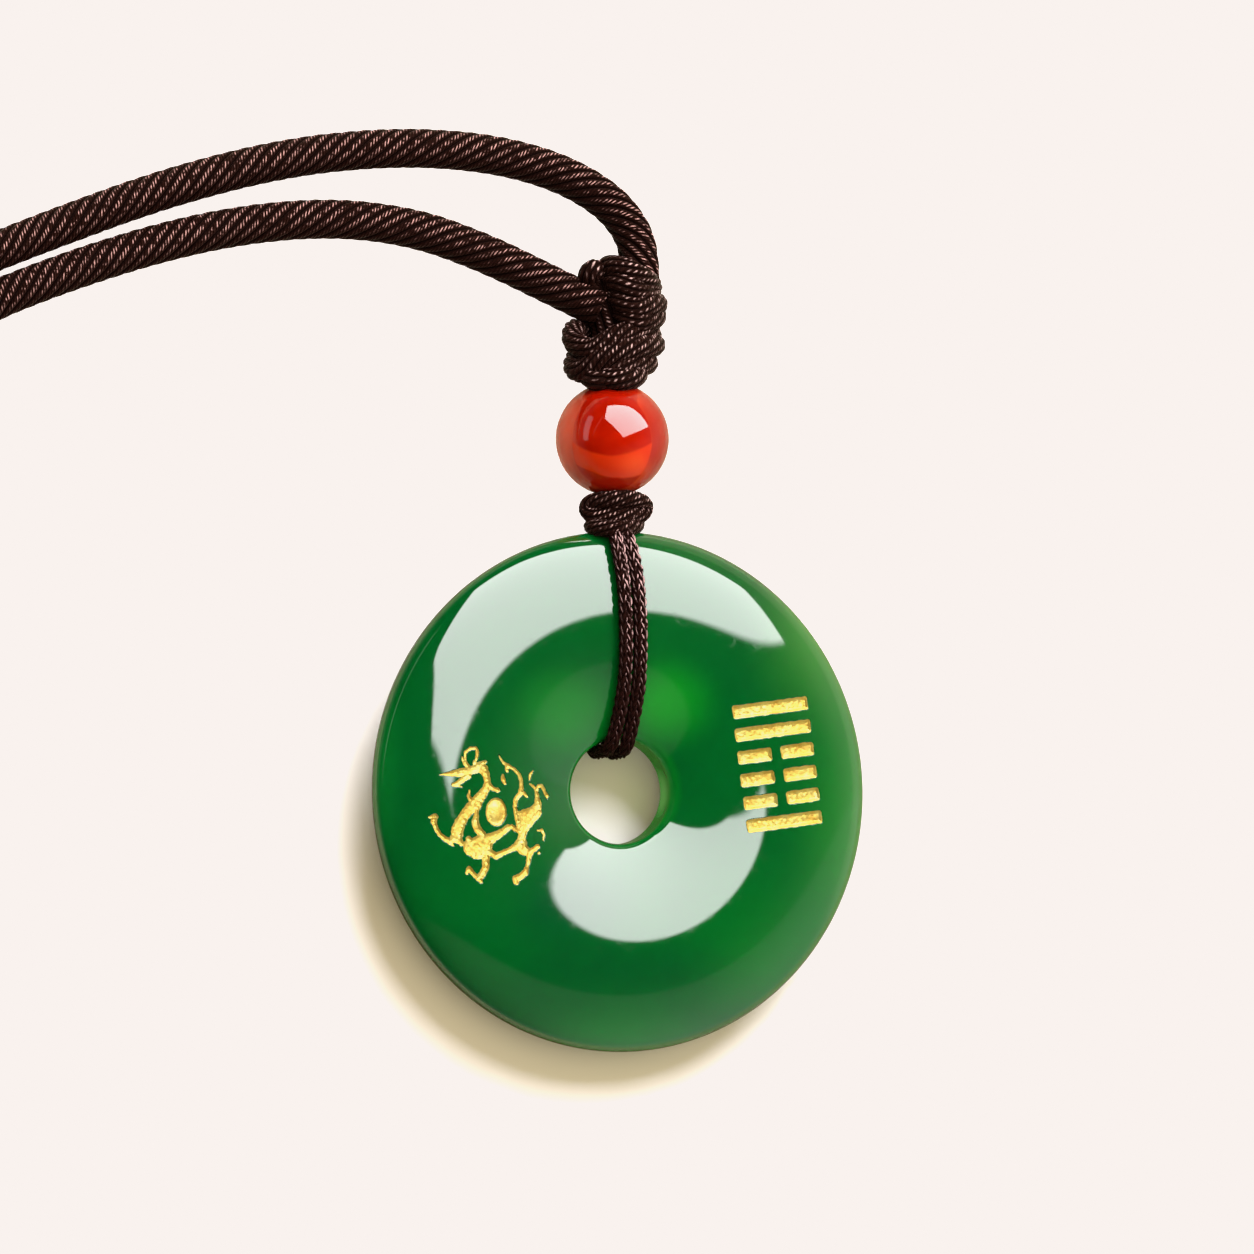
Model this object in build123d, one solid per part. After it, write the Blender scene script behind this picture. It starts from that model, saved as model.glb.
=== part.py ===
from build123d import *
import math
import os

# Agate ring pendant on a knotted cord, lying on a surface. Millimetres, +Z up,
# +X and +Y along the surface, the pendant below (-Y) its bead and knots.
# Lengths in the tables are measured from the ring's own centre and moved by
# RING_Y so that the ring, bead and knots are centred on the origin.

# ---- driving dimensions -------------------------------------------------
RING_D = 55.0            # outside diameter of the agate ring
RING_R = RING_D / 2
HOLE_R = 5.55            # wall radius of its hole
HOLE_LIP_R = 6.25        # where the hole's rounded lip meets the face
HOLE_FACE = 1.49         # height of the face at that lip over the middle plane
HOLE_BACK = 2.70         # and depth of the back under it
HOLE_WALL_TOP = 0.514    # the straight wall runs from here
HOLE_WALL_LOW = -1.937   # to here
CROWN_R = 18.0           # radius of the ring's thickest circle
CROWN_UP = 3.3           # height of the face there
CROWN_DOWN = 3.2         # depth of the back there
DISH_POWER = 2.2         # how the face falls to the hole
RIM_POWER = 2.45         # how both sides round off to the rim
RIM_UP = 0.45            # the widest circle lies this far above the middle
RING_TILT = 3.65         # degrees, the top edge held up by its cords and knot
RING_Z = 4.43            # height of the ring's centre
RING_Y = -14.9           # place of the ring's centre

ENGRAVED = 0.45          # depth of the engraving
GILT_TOP = 0.16          # the gilding lies this far under the face
GILT_BOTTOM = 0.42
GILT_GAP = 0.03          # between the gilding and the engraving's side

BEAD_R = 6.0
BEAD_BORE_R = 1.55
BEAD_CORD_R = 1.4
BEAD = (-1.15, 37.3, 6.0)    # centre, from the ring's centre

THIN_R = 0.78            # radius of each hanging cord

NECK_R = 2.1             # radius of the neck cord
CLASP_R = 3.2
CLASP_BORE_R = 2.5
CLASP_LENGTH = 9.0
CLASP = (-179.2, 4.0, 3.3)

KNOT = (-0.6, 50.0, 5.3)     # centre of the upper knot
SMALL_KNOT = (-0.5, 30.3, 4.9)
PIECE_GAP = 0.06

# The neck cord's route: out of the upper knot, round the neck's loop, and back.
NECK_ROUTE = [  # x, y, z
    (2.1, 51.8, 5.4),
    (2.5, 57.2, 5.3),
    (0.5, 61.6, 4.6),
    (-3.4, 64.7, 3.5),
    (-8.6, 66.8, 2.5),
    (-15.5, 67.9, 2.1),
    (-24.5, 67.9, 2.1),
    (-36.0, 66.3, 2.1),
    (-49.0, 62.6, 2.1),
    (-63.0, 57.1, 2.1),
    (-78.5, 50.4, 2.1),
    (-97.0, 46.2, 2.1),
    (-119.0, 45.6, 2.1),
    (-142.0, 47.2, 2.1),
    (-163.0, 40.6, 2.1),
    (-175.2, 27.0, 2.6),
    (-179.2, 12.0, 3.3),
    (-179.2, -4.0, 3.3),
    (-173.6, -16.2, 2.6),
    (-160.0, -24.0, 2.1),
    (-141.0, -25.6, 2.1),
    (-120.0, -24.4, 2.1),
    (-101.0, -17.0, 2.1),
    (-89.0, -2.0, 2.1),
    (-83.0, 16.0, 2.1),
    (-80.0, 33.0, 2.1),
    (-73.5, 47.4, 2.1),
    (-60.5, 53.1, 2.1),
    (-46.0, 57.9, 2.1),
    (-33.0, 60.1, 2.1),
    (-22.5, 59.6, 2.1),
    (-14.4, 57.0, 2.8),
    (-8.2, 54.0, 4.2),
    (-2.4, 51.1, 5.8),
]

# Each hanging cord: out of the small knot, over the ring's face, down through
# its hole, and back under the ring to the knot.
THIN_ROUTE = [  # x of the pair's middle, y, z, each cord's distance from the middle, radius of the bend
    (-1.2, 29.3, 6.1, 0.81, 0.0),
    (-1.15, 26.75, 9.15, 0.81, 3.0),
    (-0.35, 20.6, 10.04, 0.81, 14.0),
    (0.0, 12.5, 9.46, 0.82, 14.0),
    (-0.75, 4.2, 6.75, 1.0, 1.7),
    (-0.75, 4.2, 1.22, 1.0, 1.5),
    (-0.85, 15.0, 1.2, 0.85, 20.0),
    (-0.95, 23.6, 2.05, 0.83, 8.0),
    (-1.1, 29.3, 4.3, 0.81, 0.0),
]

# Knots: rings of cord round the knot's core, which runs along Y.
KNOT_CORE_R = 3.7
KNOT_RINGS = [  # y from the knot's centre, ring radius, cord radius, tilt about Z, shift in x
    (4.6, 3.0, 1.9, -14.0, 0.1),
    (0.9, 3.3, 2.0, -12.0, 0.1),
    (-2.8, 3.1, 1.8, 8.0, 0.0),
    (-5.7, 2.2, 1.15, 0.0, 0.0),
]
SMALL_CORE_R = 2.7
SMALL_RINGS = [  # y from the knot's centre, ring radius, cord radius, tilt about Z, shift in x
    (0.2, 2.4, 1.45, -4.0, 0.0),
    (-1.75, 2.25, 1.0, 4.0, 0.1),
]

# The hexagram: six lines, the broken ones in two halves.
BARS_AT = (16.8, 3.35)
BARS_TURN = 9.0          # degrees
BAR_LONG = 8.6
BAR_HIGH = 1.42
BAR_PITCH = 2.43
BAR_SPLIT = 1.0          # the gap in a broken line
BAR_CORNER = 0.32
BAR_LINES = ["whole", "whole", "broken", "broken", "broken", "whole"]  # from the top

# The pearl that the dragon turns round.
PEARL_AT = (-14.65, -2.68)
PEARL_HALF = (1.2, 1.5)

# The dragon: strokes on the ring's face, and the stroke's width at each place.
DRAGON = {  # name: rows of x, y, width
    "snout": [(-21.0, 1.0, .14), (-20.3, 1.1, .36), (-19.6, 1.2, .65), (-18.75, 1.3, .9), (-17.4, 1.65, .88), (-16.7, 1.9, 1.0), (-16.2, 1.77, 1.05)],
    "neck": [(-16.2, 1.77, 1.05), (-15.85, 1.1, .82), (-15.7, .4, .75), (-15.86, -.3, .88), (-16.3, -.95, 1.05), (-17.2, -2.0, 1.3), (-17.7, -2.55, 1.2), (-18.2, -3.15, 1.05)],
    "throat": [(-16.45, -1.2, .72), (-16.6, -2.0, .6), (-16.85, -2.7, .5), (-16.87, -3.2, .56)],
    "shoulder": [(-18.2, -3.15, 1.05), (-18.65, -3.95, 1.3), (-18.95, -4.75, 1.4), (-18.95, -5.5, 1.2), (-18.5, -6.1, .6)],
    "chest": [(-16.87, -3.2, .56), (-17.0, -3.8, .86), (-16.77, -4.5, .86), (-16.15, -5.1, .88)],
    "belly": [(-17.65, -5.7, .8), (-17.3, -6.45, 1.95), (-16.65, -6.55, 2.35), (-16.05, -6.1, 2.15), (-15.3, -5.55, 1.25), (-14.55, -5.15, .92), (-13.8, -4.7, .74), (-13.3, -4.28, .66), (-12.8, -4.16, .5), (-12.35, -4.5, .48), (-11.9, -4.6, .6)],
    "jaw": [(-17.95, 1.05, .84), (-18.5, .6, .66), (-19.0, .22, .5), (-19.5, .02, .46)],
    "jaw_tip": [(-19.15, -.03, .34), (-18.57, -.2, .17)],
    "crest_root": [(-17.8, 1.9, .42), (-18.3, 2.26, .38), (-18.56, 2.65, .27), (-18.6, 2.95, .18)],
    "crest": [(-17.9, 2.0, .3), (-18.2, 2.5, .3), (-18.3, 3.05, .28), (-18.25, 3.5, .34), (-17.7, 3.9, .34), (-17.1, 3.92, .38), (-16.88, 3.5, .4), (-17.0, 2.9, .32), (-17.25, 2.35, .4)],
    "ear": [(-16.9, 2.15, .6), (-16.45, 2.3, .6), (-16.0, 2.55, .34)],
    "barbel": [(-17.6, -1.45, .5), (-17.8, -1.13, .42), (-17.7, -.55, .2)],
    "spur": [(-15.55, .13, .6), (-15.05, -.25, .46), (-14.5, -.4, .52)],
    "arm_left": [(-19.1, -5.3, 1.1), (-19.6, -5.9, .66), (-20.2, -5.75, .58), (-20.9, -5.2, .52), (-21.3, -4.57, .48), (-21.55, -3.9, .64), (-21.45, -3.42, .76)],
    "arm_claw": [(-21.58, -3.38, .4), (-22.05, -3.5, .22)],
    "elbow": [(-19.8, -6.05, .44), (-19.36, -6.37, .22)],
    "leg_low": [(-15.8, -6.7, 1.2), (-15.7, -7.6, .9), (-15.7, -8.5, .82), (-16.05, -9.25, .74), (-16.4, -9.65, .82), (-16.2, -10.05, .46)],
    "leg_claw": [(-16.6, -9.65, .58), (-17.1, -9.2, .5), (-17.55, -8.75, .6), (-17.76, -9.14, .42)],
    "limb_mid": [(-15.8, -6.3, .94), (-15.15, -7.0, .66), (-14.57, -7.32, .74), (-13.8, -6.95, .58), (-13.0, -6.62, .56), (-12.34, -6.25, .8), (-11.8, -5.68, .9), (-11.6, -5.07, .86)],
    "flank": [(-11.6, -5.07, .86), (-11.45, -4.25, 1.2), (-11.15, -3.55, 1.62), (-10.7, -2.95, 1.7), (-10.05, -2.5, 1.45), (-9.77, -1.7, .92), (-9.85, -1.0, .58), (-10.0, -.28, .4), (-10.22, .06, .32), (-10.78, .4, .2)],
    "back": [(-11.9, -2.72, .5), (-11.4, -2.95, 1.3), (-10.83, -2.73, 1.2)],
    "claw_up": [(-10.0, -.18, .38), (-9.73, .22, .4), (-9.37, .28, .4), (-9.02, -.25, .4), (-8.71, -.74, .44), (-8.67, -1.05, .18)],
    "hip": [(-11.95, -6.2, 1.1), (-11.4, -6.58, 1.2), (-10.76, -6.8, .86), (-10.33, -6.54, .54), (-9.82, -6.17, .56)],
    "hip_up": [(-11.4, -6.28, .9), (-11.2, -5.56, .26)],
    "leg_right": [(-10.8, -6.9, .7), (-10.86, -7.6, .5), (-11.04, -8.33, .42), (-11.25, -8.94, .74), (-11.8, -9.4, .7), (-12.33, -9.63, .78), (-12.27, -9.93, .7)],
    "tail": [(-11.9, -4.5, .7), (-12.1, -3.7, .6), (-12.3, -2.9, .56), (-12.5, -2.1, .48), (-12.4, -1.27, .52), (-11.96, -.7, .58), (-11.76, -.14, .56), (-11.8, .66, .46), (-12.1, 1.36, .44), (-12.68, 1.89, .4), (-13.45, 2.24, .44), (-13.94, 2.5, .32), (-14.33, 3.0, .22), (-14.5, 3.34, .15)],
    "tail_nub": [(-13.55, 2.16, .44), (-13.52, 1.7, .4)],
    "tail_spur": [(-11.8, -.5, .56), (-11.42, -.63, .44), (-11.1, -.94, .3)],
}
FLAMES = {  # name: rows of x, y, width
    "flame_1": [(-13.96, 1.14, .38), (-13.93, .74, .52), (-13.72, .4, .38)],
    "flame_2": [(-10.44, 1.82, .16), (-10.8, 1.32, .34), (-10.85, .8, .2)],
    "flame_3": [(-9.76, -4.46, .22), (-9.26, -4.41, .34), (-9.04, -4.89, .3), (-9.12, -5.44, .2)],
    "flame_4": [(-9.68, -6.89, .32), (-9.63, -6.82, .3)],
}
CHART_STEP = 0.11        # grid on which a drawn outline is worked out
CHART_TOLERANCE = 0.018


# ---- the ring's section -------------------------------------------------
def face_height(r):
    """Height of the front face over the ring's middle plane at radius r."""
    if r <= CROWN_R:
        return CROWN_UP - (CROWN_UP - HOLE_FACE) * ((CROWN_R - r) / (CROWN_R - HOLE_LIP_R)) ** DISH_POWER
    u = (r - CROWN_R) / (RING_R - CROWN_R)
    return RIM_UP + (CROWN_UP - RIM_UP) * math.sqrt(max(0.0, 1 - u**RIM_POWER))


def back_height(r):
    if r <= CROWN_R:
        return -CROWN_DOWN + (CROWN_DOWN - HOLE_BACK) * ((CROWN_R - r) / (CROWN_R - HOLE_LIP_R)) ** 2
    u = (r - CROWN_R) / (RING_R - CROWN_R)
    return RIM_UP - (CROWN_DOWN + RIM_UP) * math.sqrt(max(0.0, 1 - u**RIM_POWER))


def ring_body():
    """The ring without its engraving, about Z, middle plane at z = 0."""
    outer = [CROWN_R + (RING_R - CROWN_R) * u for u in (0.2, 0.4, 0.57, 0.7, 0.8, 0.88, 0.94, 0.98)]
    inner = [HOLE_LIP_R + (CROWN_R - HOLE_LIP_R) * u for u in (0.25, 0.5, 0.75)]

    def half(height, sign, fall, wall):
        lip = (HOLE_LIP_R, height(HOLE_LIP_R))
        crown = (CROWN_R, height(CROWN_R))
        face_in = Spline([lip] + [(r, height(r)) for r in inner] + [crown], tangents=[(1, sign * fall), (1, 0)])
        face_out = Spline([crown] + [(r, height(r)) for r in outer] + [(RING_R, RIM_UP)], tangents=[(1, 0), (0, -sign)])
        lip_arc = TangentArc([lip, (HOLE_R, wall)], tangent=(-1, -sign * fall))
        return [lip_arc, face_in, face_out]

    span = CROWN_R - HOLE_LIP_R
    top = half(face_height, 1, DISH_POWER * (CROWN_UP - HOLE_FACE) / span, HOLE_WALL_TOP)
    bottom = half(back_height, -1, 2 * (CROWN_DOWN - HOLE_BACK) / span, HOLE_WALL_LOW)
    wall = Line((HOLE_R, HOLE_WALL_TOP), (HOLE_R, HOLE_WALL_LOW))
    section = Plane.XZ * make_face(top + bottom + [wall])
    return revolve(section, axis=Axis.Z, revolution_arc=360)


# ---- drawn outlines -----------------------------------------------------
def stroke_distance(x, y, rows):
    """Signed distance from (x, y) to a stroke, below zero inside it."""
    best = 1e9
    for (ax, ay, aw), (bx, by, bw) in zip(rows, rows[1:]):
        dx, dy = bx - ax, by - ay
        t = min(1.0, max(0.0, ((x - ax) * dx + (y - ay) * dy) / (dx * dx + dy * dy)))
        d = math.hypot(x - ax - t * dx, y - ay - t * dy) - (aw + t * (bw - aw)) / 2
        best = min(best, d)
    return best


def outlines(strokes, inset):
    """Closed outlines of a group of strokes, made smaller by inset."""
    rows = [r for s in strokes for r in s]
    x0, x1 = min(r[0] - r[2] for r in rows), max(r[0] + r[2] for r in rows)
    y0, y1 = min(r[1] - r[2] for r in rows), max(r[1] + r[2] for r in rows)
    nx, ny = int((x1 - x0) / CHART_STEP) + 2, int((y1 - y0) / CHART_STEP) + 2
    value = {}
    for i in range(nx):
        for j in range(ny):
            x, y = x0 + i * CHART_STEP, y0 + j * CHART_STEP
            value[i, j] = min(stroke_distance(x, y, s) for s in strokes) + inset + 1e-7
    links = {}

    def cross(a, b):
        (i, j), (k, m) = sorted((a, b))
        t = value[i, j] / (value[i, j] - value[k, m])
        return (x0 + (i + t * (k - i)) * CHART_STEP, y0 + (j + t * (m - j)) * CHART_STEP)

    for i in range(nx - 1):
        for j in range(ny - 1):
            # each cell is two triangles, so no cell is ambiguous
            for tri in (((i, j), (i + 1, j), (i + 1, j + 1)), ((i, j), (i + 1, j + 1), (i, j + 1))):
                inside = [p for p in tri if value[p] < 0]
                if len(inside) in (0, 3):
                    continue
                edges = [tuple(sorted(e)) for e in ((tri[0], tri[1]), (tri[1], tri[2]), (tri[2], tri[0])) if (value[e[0]] < 0) != (value[e[1]] < 0)]
                for a, b in (edges, edges[::-1]):
                    links.setdefault(a, []).append(b)
    loops = []
    while links:
        start = next(iter(links))
        loop, here, last = [start], start, None
        while True:
            ahead = [e for e in links[here] if e != last]
            nxt = ahead[0]
            if nxt == start:
                break
            loop.append(nxt)
            last, here = here, nxt
        for e in loop:
            links.pop(e, None)
        loops.append(simplified([cross(*e) for e in loop]))
    return [p for p in loops if len(p) > 3]


def simplified(points):
    """A closed outline with the points left out that lie on a straight line."""
    far = max(range(len(points)), key=lambda k: math.dist(points[0], points[k]))

    def thin(part):
        (ax, ay), (bx, by) = part[0], part[-1]
        long = math.hypot(bx - ax, by - ay) or 1e-9
        off = [abs((bx - ax) * (ay - y) - (ax - x) * (by - ay)) / long for x, y in part]
        k = max(range(len(part)), key=off.__getitem__)
        if off[k] < CHART_TOLERANCE:
            return [part[0], part[-1]]
        return thin(part[: k + 1])[:-1] + thin(part[k:])

    return thin(points[: far + 1])[:-1] + thin(points[far:] + points[:1])[:-1]


def area(points):
    return sum(a[0] * b[1] - b[0] * a[1] for a, b in zip(points, points[1:] + points[:1])) / 2


def drawn_face(strokes, inset):
    """The largest outline of the strokes, with the others cut out of it."""
    loops = sorted(outlines(strokes, inset), key=lambda p: -abs(area(p)))
    whole = make_face(Polyline(*loops[0], close=True))
    for hole in loops[1:]:
        if abs(area(hole)) > 0.02:
            whole -= make_face(Polyline(*hole, close=True))
    return whole


def bar_faces(inset):
    """The hexagram's bars on the ring's face, by name."""
    made = {}
    half = (BAR_LONG - BAR_SPLIT) / 2
    for row, line in enumerate(BAR_LINES):
        up = (2.5 - row) * BAR_PITCH
        pieces = (
            {f"bar_{row + 1}": (0.0, BAR_LONG)}
            if line == "whole"
            else {f"bar_{row + 1}_left": (-(half + BAR_SPLIT) / 2, half), f"bar_{row + 1}_right": ((half + BAR_SPLIT) / 2, half)}
        )
        for name, (x, long) in pieces.items():
            flat = RectangleRounded(long - 2 * inset, BAR_HIGH - 2 * inset, BAR_CORNER - inset)
            made[name] = Pos(BARS_AT[0], BARS_AT[1]) * Rot(0, 0, BARS_TURN) * Pos(x, up) * flat
    return made


def engraved_faces(inset):
    made = {"gilt_dragon": drawn_face(list(DRAGON.values()), inset)}
    made |= {"gilt_" + name: drawn_face([rows], inset) for name, rows in FLAMES.items()}
    made["gilt_pearl"] = Pos(*PEARL_AT) * Ellipse(PEARL_HALF[0] - inset, PEARL_HALF[1] - inset)
    return made | {"gilt_" + name: f for name, f in bar_faces(inset).items()}


# ---- cords --------------------------------------------------------------
def arc_radii(points):
    """For each corner, 0.45 of its shorter run over the tangent of half its turn."""
    made = []
    for a, b, c in zip(points, points[1:], points[2:]):
        first, second = Vector(*b) - Vector(*a), Vector(*c) - Vector(*b)
        turn = math.radians(first.get_angle(second))
        made.append(0.45 * min(first.length, second.length) / math.tan(turn / 2))
    return made


def tube(points, radii, thick):
    path = FilletPolyline(*points, radius=radii)
    disc = Plane(origin=path @ 0, z_dir=path % 0) * Circle(thick)
    return sweep(disc, path=path), path.length


def placed(x, y, z):
    return (x, y + RING_Y, z)


def knot_body(centre, core, low, high, rings):
    body = Pos(*placed(*centre)) * Pos(0, (low + high) / 2, 0) * Rot(90, 0, 0) * Cylinder(core, high - low)
    for y, ring, cord, tilt, shift in rings:
        body += Pos(*placed(*centre)) * Pos(shift, y, 0) * Rot(0, 0, tilt) * Rot(90, 0, 0) * Torus(ring, cord)
    return body


# ---- make the pieces ----------------------------------------------------
made = {}
on_ring = Pos(0, RING_Y, RING_Z) * Rot(RING_TILT, 0, 0)

plain = ring_body()
cut = engraved_faces(0.0)
pockets = [extrude(Pos(0, 0, 1.0) * f, amount=4.0) - Pos(0, 0, -ENGRAVED) * plain for f in cut.values()]
ring = plain
for p in pockets:
    ring -= p
made["agate_ring"] = on_ring * ring

under_top = Pos(0, 0, -GILT_TOP) * plain
under_bottom = Pos(0, 0, -GILT_BOTTOM) * plain
for name, f in engraved_faces(GILT_GAP).items():
    made[name] = on_ring * ((extrude(Pos(0, 0, 1.0) * f, amount=4.0) & under_top) - under_bottom)

bead_at = Pos(*placed(*BEAD))
bead_bore = Rot(90, 0, 0) * Cylinder(BEAD_BORE_R, 4 * BEAD_R)
made["agate_bead"] = bead_at * (Sphere(BEAD_R) - bead_bore)
clear_bead = bead_at * Sphere(BEAD_R + PIECE_GAP)

routes = {}
neck_points = [placed(*p) for p in NECK_ROUTE]
neck_radii = arc_radii(neck_points)
made["neck_cord"], neck_length = tube(neck_points, neck_radii, NECK_R)
routes["neck_cord"] = (neck_length, NECK_R)

thin_radii = [r for *_, r in THIN_ROUTE[1:-1]]
for name, side in (("hanging_cord_left", -1), ("hanging_cord_right", 1)):
    points = [placed(x + side * step, y, z) for x, y, z, step, _ in THIN_ROUTE]
    made[name], long = tube(points, thin_radii, THIN_R)
    routes[name] = (long, THIN_R)

# The knots leave room for the cords that go into them.
knot = knot_body(KNOT, KNOT_CORE_R, -6.6, 6.6, KNOT_RINGS) - clear_bead
for ends in (neck_points[:4], neck_points[::-1][:4]):
    knot -= tube(ends, arc_radii(ends), NECK_R + PIECE_GAP)[0]
small = knot_body(SMALL_KNOT, SMALL_CORE_R, -2.1, 1.6, SMALL_RINGS) - clear_bead
for side in (-1, 1):
    points = [placed(x + side * step, y, z) for x, y, z, step, _ in THIN_ROUTE]
    for part, radius in ((points[:3], thin_radii[0]), (points[::-1][:3], thin_radii[-1])):
        small -= tube(part, [radius], THIN_R + PIECE_GAP)[0]
core_low, core_high = BEAD[1] - BEAD_R - 0.6, BEAD[1] + BEAD_R + 2.2
core_at = Pos(*placed(BEAD[0], (core_low + core_high) / 2, BEAD[2])) * Rot(90, 0, 0)
made["bead_cord"] = core_at * Cylinder(BEAD_CORD_R, core_high - core_low)
room = core_at * Cylinder(BEAD_CORD_R + PIECE_GAP, core_high - core_low + 2 * PIECE_GAP)
made["upper_knot"] = knot - room
made["lower_knot"] = small - room

clasp = fillet(Cylinder(CLASP_R, CLASP_LENGTH).edges(), 1.2) - Cylinder(CLASP_BORE_R, CLASP_LENGTH + 2)
made["clasp"] = Pos(*placed(*CLASP)) * Rot(90, 0, 0) * clasp

# ---- report and write ---------------------------------------------------
print("neck cord radii", [round(r, 1) for r in neck_radii])
for name, (long, r) in routes.items():
    share = made[name].volume / (math.pi * r * r * long)
    print(f"{name}: {long:.1f} mm long, volume over section times length {share:.4f}")
os.makedirs("parts", exist_ok=True)
for name, shape in made.items():
    solids = shape.solids()
    if len(solids) != 1:
        print(name, "has", len(solids), "solids", [round(s.volume, 4) for s in solids])
        solids = sorted(solids, key=lambda s: -s.volume)[:1]
    export_step(solids[0], f"parts/{name}.step")
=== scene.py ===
import math

import bpy
import numpy as np
from mathutils import Matrix, Vector
from mathutils.geometry import delaunay_2d_cdt


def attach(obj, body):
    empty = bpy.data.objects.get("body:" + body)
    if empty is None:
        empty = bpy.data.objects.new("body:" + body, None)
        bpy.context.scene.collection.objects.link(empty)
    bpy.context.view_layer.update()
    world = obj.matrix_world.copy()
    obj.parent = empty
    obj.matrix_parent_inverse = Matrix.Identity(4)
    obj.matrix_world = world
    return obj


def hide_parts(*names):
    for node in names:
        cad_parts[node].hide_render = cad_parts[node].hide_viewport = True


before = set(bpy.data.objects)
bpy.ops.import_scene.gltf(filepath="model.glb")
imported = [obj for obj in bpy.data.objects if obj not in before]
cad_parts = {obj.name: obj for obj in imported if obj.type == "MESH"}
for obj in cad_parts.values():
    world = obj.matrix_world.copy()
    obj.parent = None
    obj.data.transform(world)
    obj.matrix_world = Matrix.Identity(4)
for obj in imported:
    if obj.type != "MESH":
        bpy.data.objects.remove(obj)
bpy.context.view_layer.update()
scene = bpy.context.scene
MM = 0.001

# ---------------------------------------------------------------- sizes, in mm
RING_R = 27.5
HOLE_R = 5.55
HOLE_LIP_R = 6.25
HOLE_FACE = 1.49
HOLE_BACK = 2.70
HOLE_WALL_TOP = 0.514
HOLE_WALL_LOW = -1.937
CROWN_R = 18.0
CROWN_UP = 3.3
CROWN_DOWN = 3.2
DISH_POWER = 2.2
RIM_POWER = 2.45
RIM_UP = 0.45
RING_TILT = math.radians(3.65)
RING_Y = -14.9
RING_Z = 4.43

BEAD_R = 6.0
BEAD_BORE_R = 1.55
BEAD = (-1.15, 37.3, 6.0)
THIN_R = 0.78
NECK_R = 2.1
CLASP = (-179.2, 4.0, 3.3)

# The neck cord's route: out of the upper knot, round the neck's loop, and back.
NECK_ROUTE = [
    (2.1, 51.8, 5.4),
    (2.5, 57.2, 5.3),
    (0.5, 61.6, 4.6),
    (-3.4, 64.7, 3.5),
    (-8.6, 66.8, 2.5),
    (-15.5, 67.9, 2.1),
    (-24.5, 67.9, 2.1),
    (-36.0, 66.3, 2.1),
    (-49.0, 62.6, 2.1),
    (-63.0, 57.1, 2.1),
    (-78.5, 50.4, 2.1),
    (-97.0, 46.2, 2.1),
    (-119.0, 45.6, 2.1),
    (-142.0, 47.2, 2.1),
    (-163.0, 40.6, 2.1),
    (-175.2, 27.0, 2.6),
    (-179.2, 12.0, 3.3),
    (-179.2, -4.0, 3.3),
    (-173.6, -16.2, 2.6),
    (-160.0, -24.0, 2.1),
    (-141.0, -25.6, 2.1),
    (-120.0, -24.4, 2.1),
    (-101.0, -17.0, 2.1),
    (-89.0, -2.0, 2.1),
    (-83.0, 16.0, 2.1),
    (-80.0, 33.0, 2.1),
    (-73.5, 47.4, 2.1),
    (-60.5, 53.1, 2.1),
    (-46.0, 57.9, 2.1),
    (-33.0, 60.1, 2.1),
    (-22.5, 59.6, 2.1),
    (-14.4, 57.0, 2.8),
    (-8.2, 54.0, 4.2),
    (-2.4, 51.1, 5.8),
]
# The hexagram: six lines, the broken ones in two halves.
BARS_AT = (16.8, 3.35)
BARS_TURN = 9.0          # degrees
BAR_LONG = 8.6
BAR_HIGH = 1.42
BAR_PITCH = 2.43
BAR_SPLIT = 1.0          # the gap in a broken line
BAR_CORNER = 0.32
BAR_LINES = ["whole", "whole", "broken", "broken", "broken", "whole"]  # from the top

# The pearl that the dragon turns round.
PEARL_AT = (-14.65, -2.68)
PEARL_HALF = (1.2, 1.5)

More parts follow.
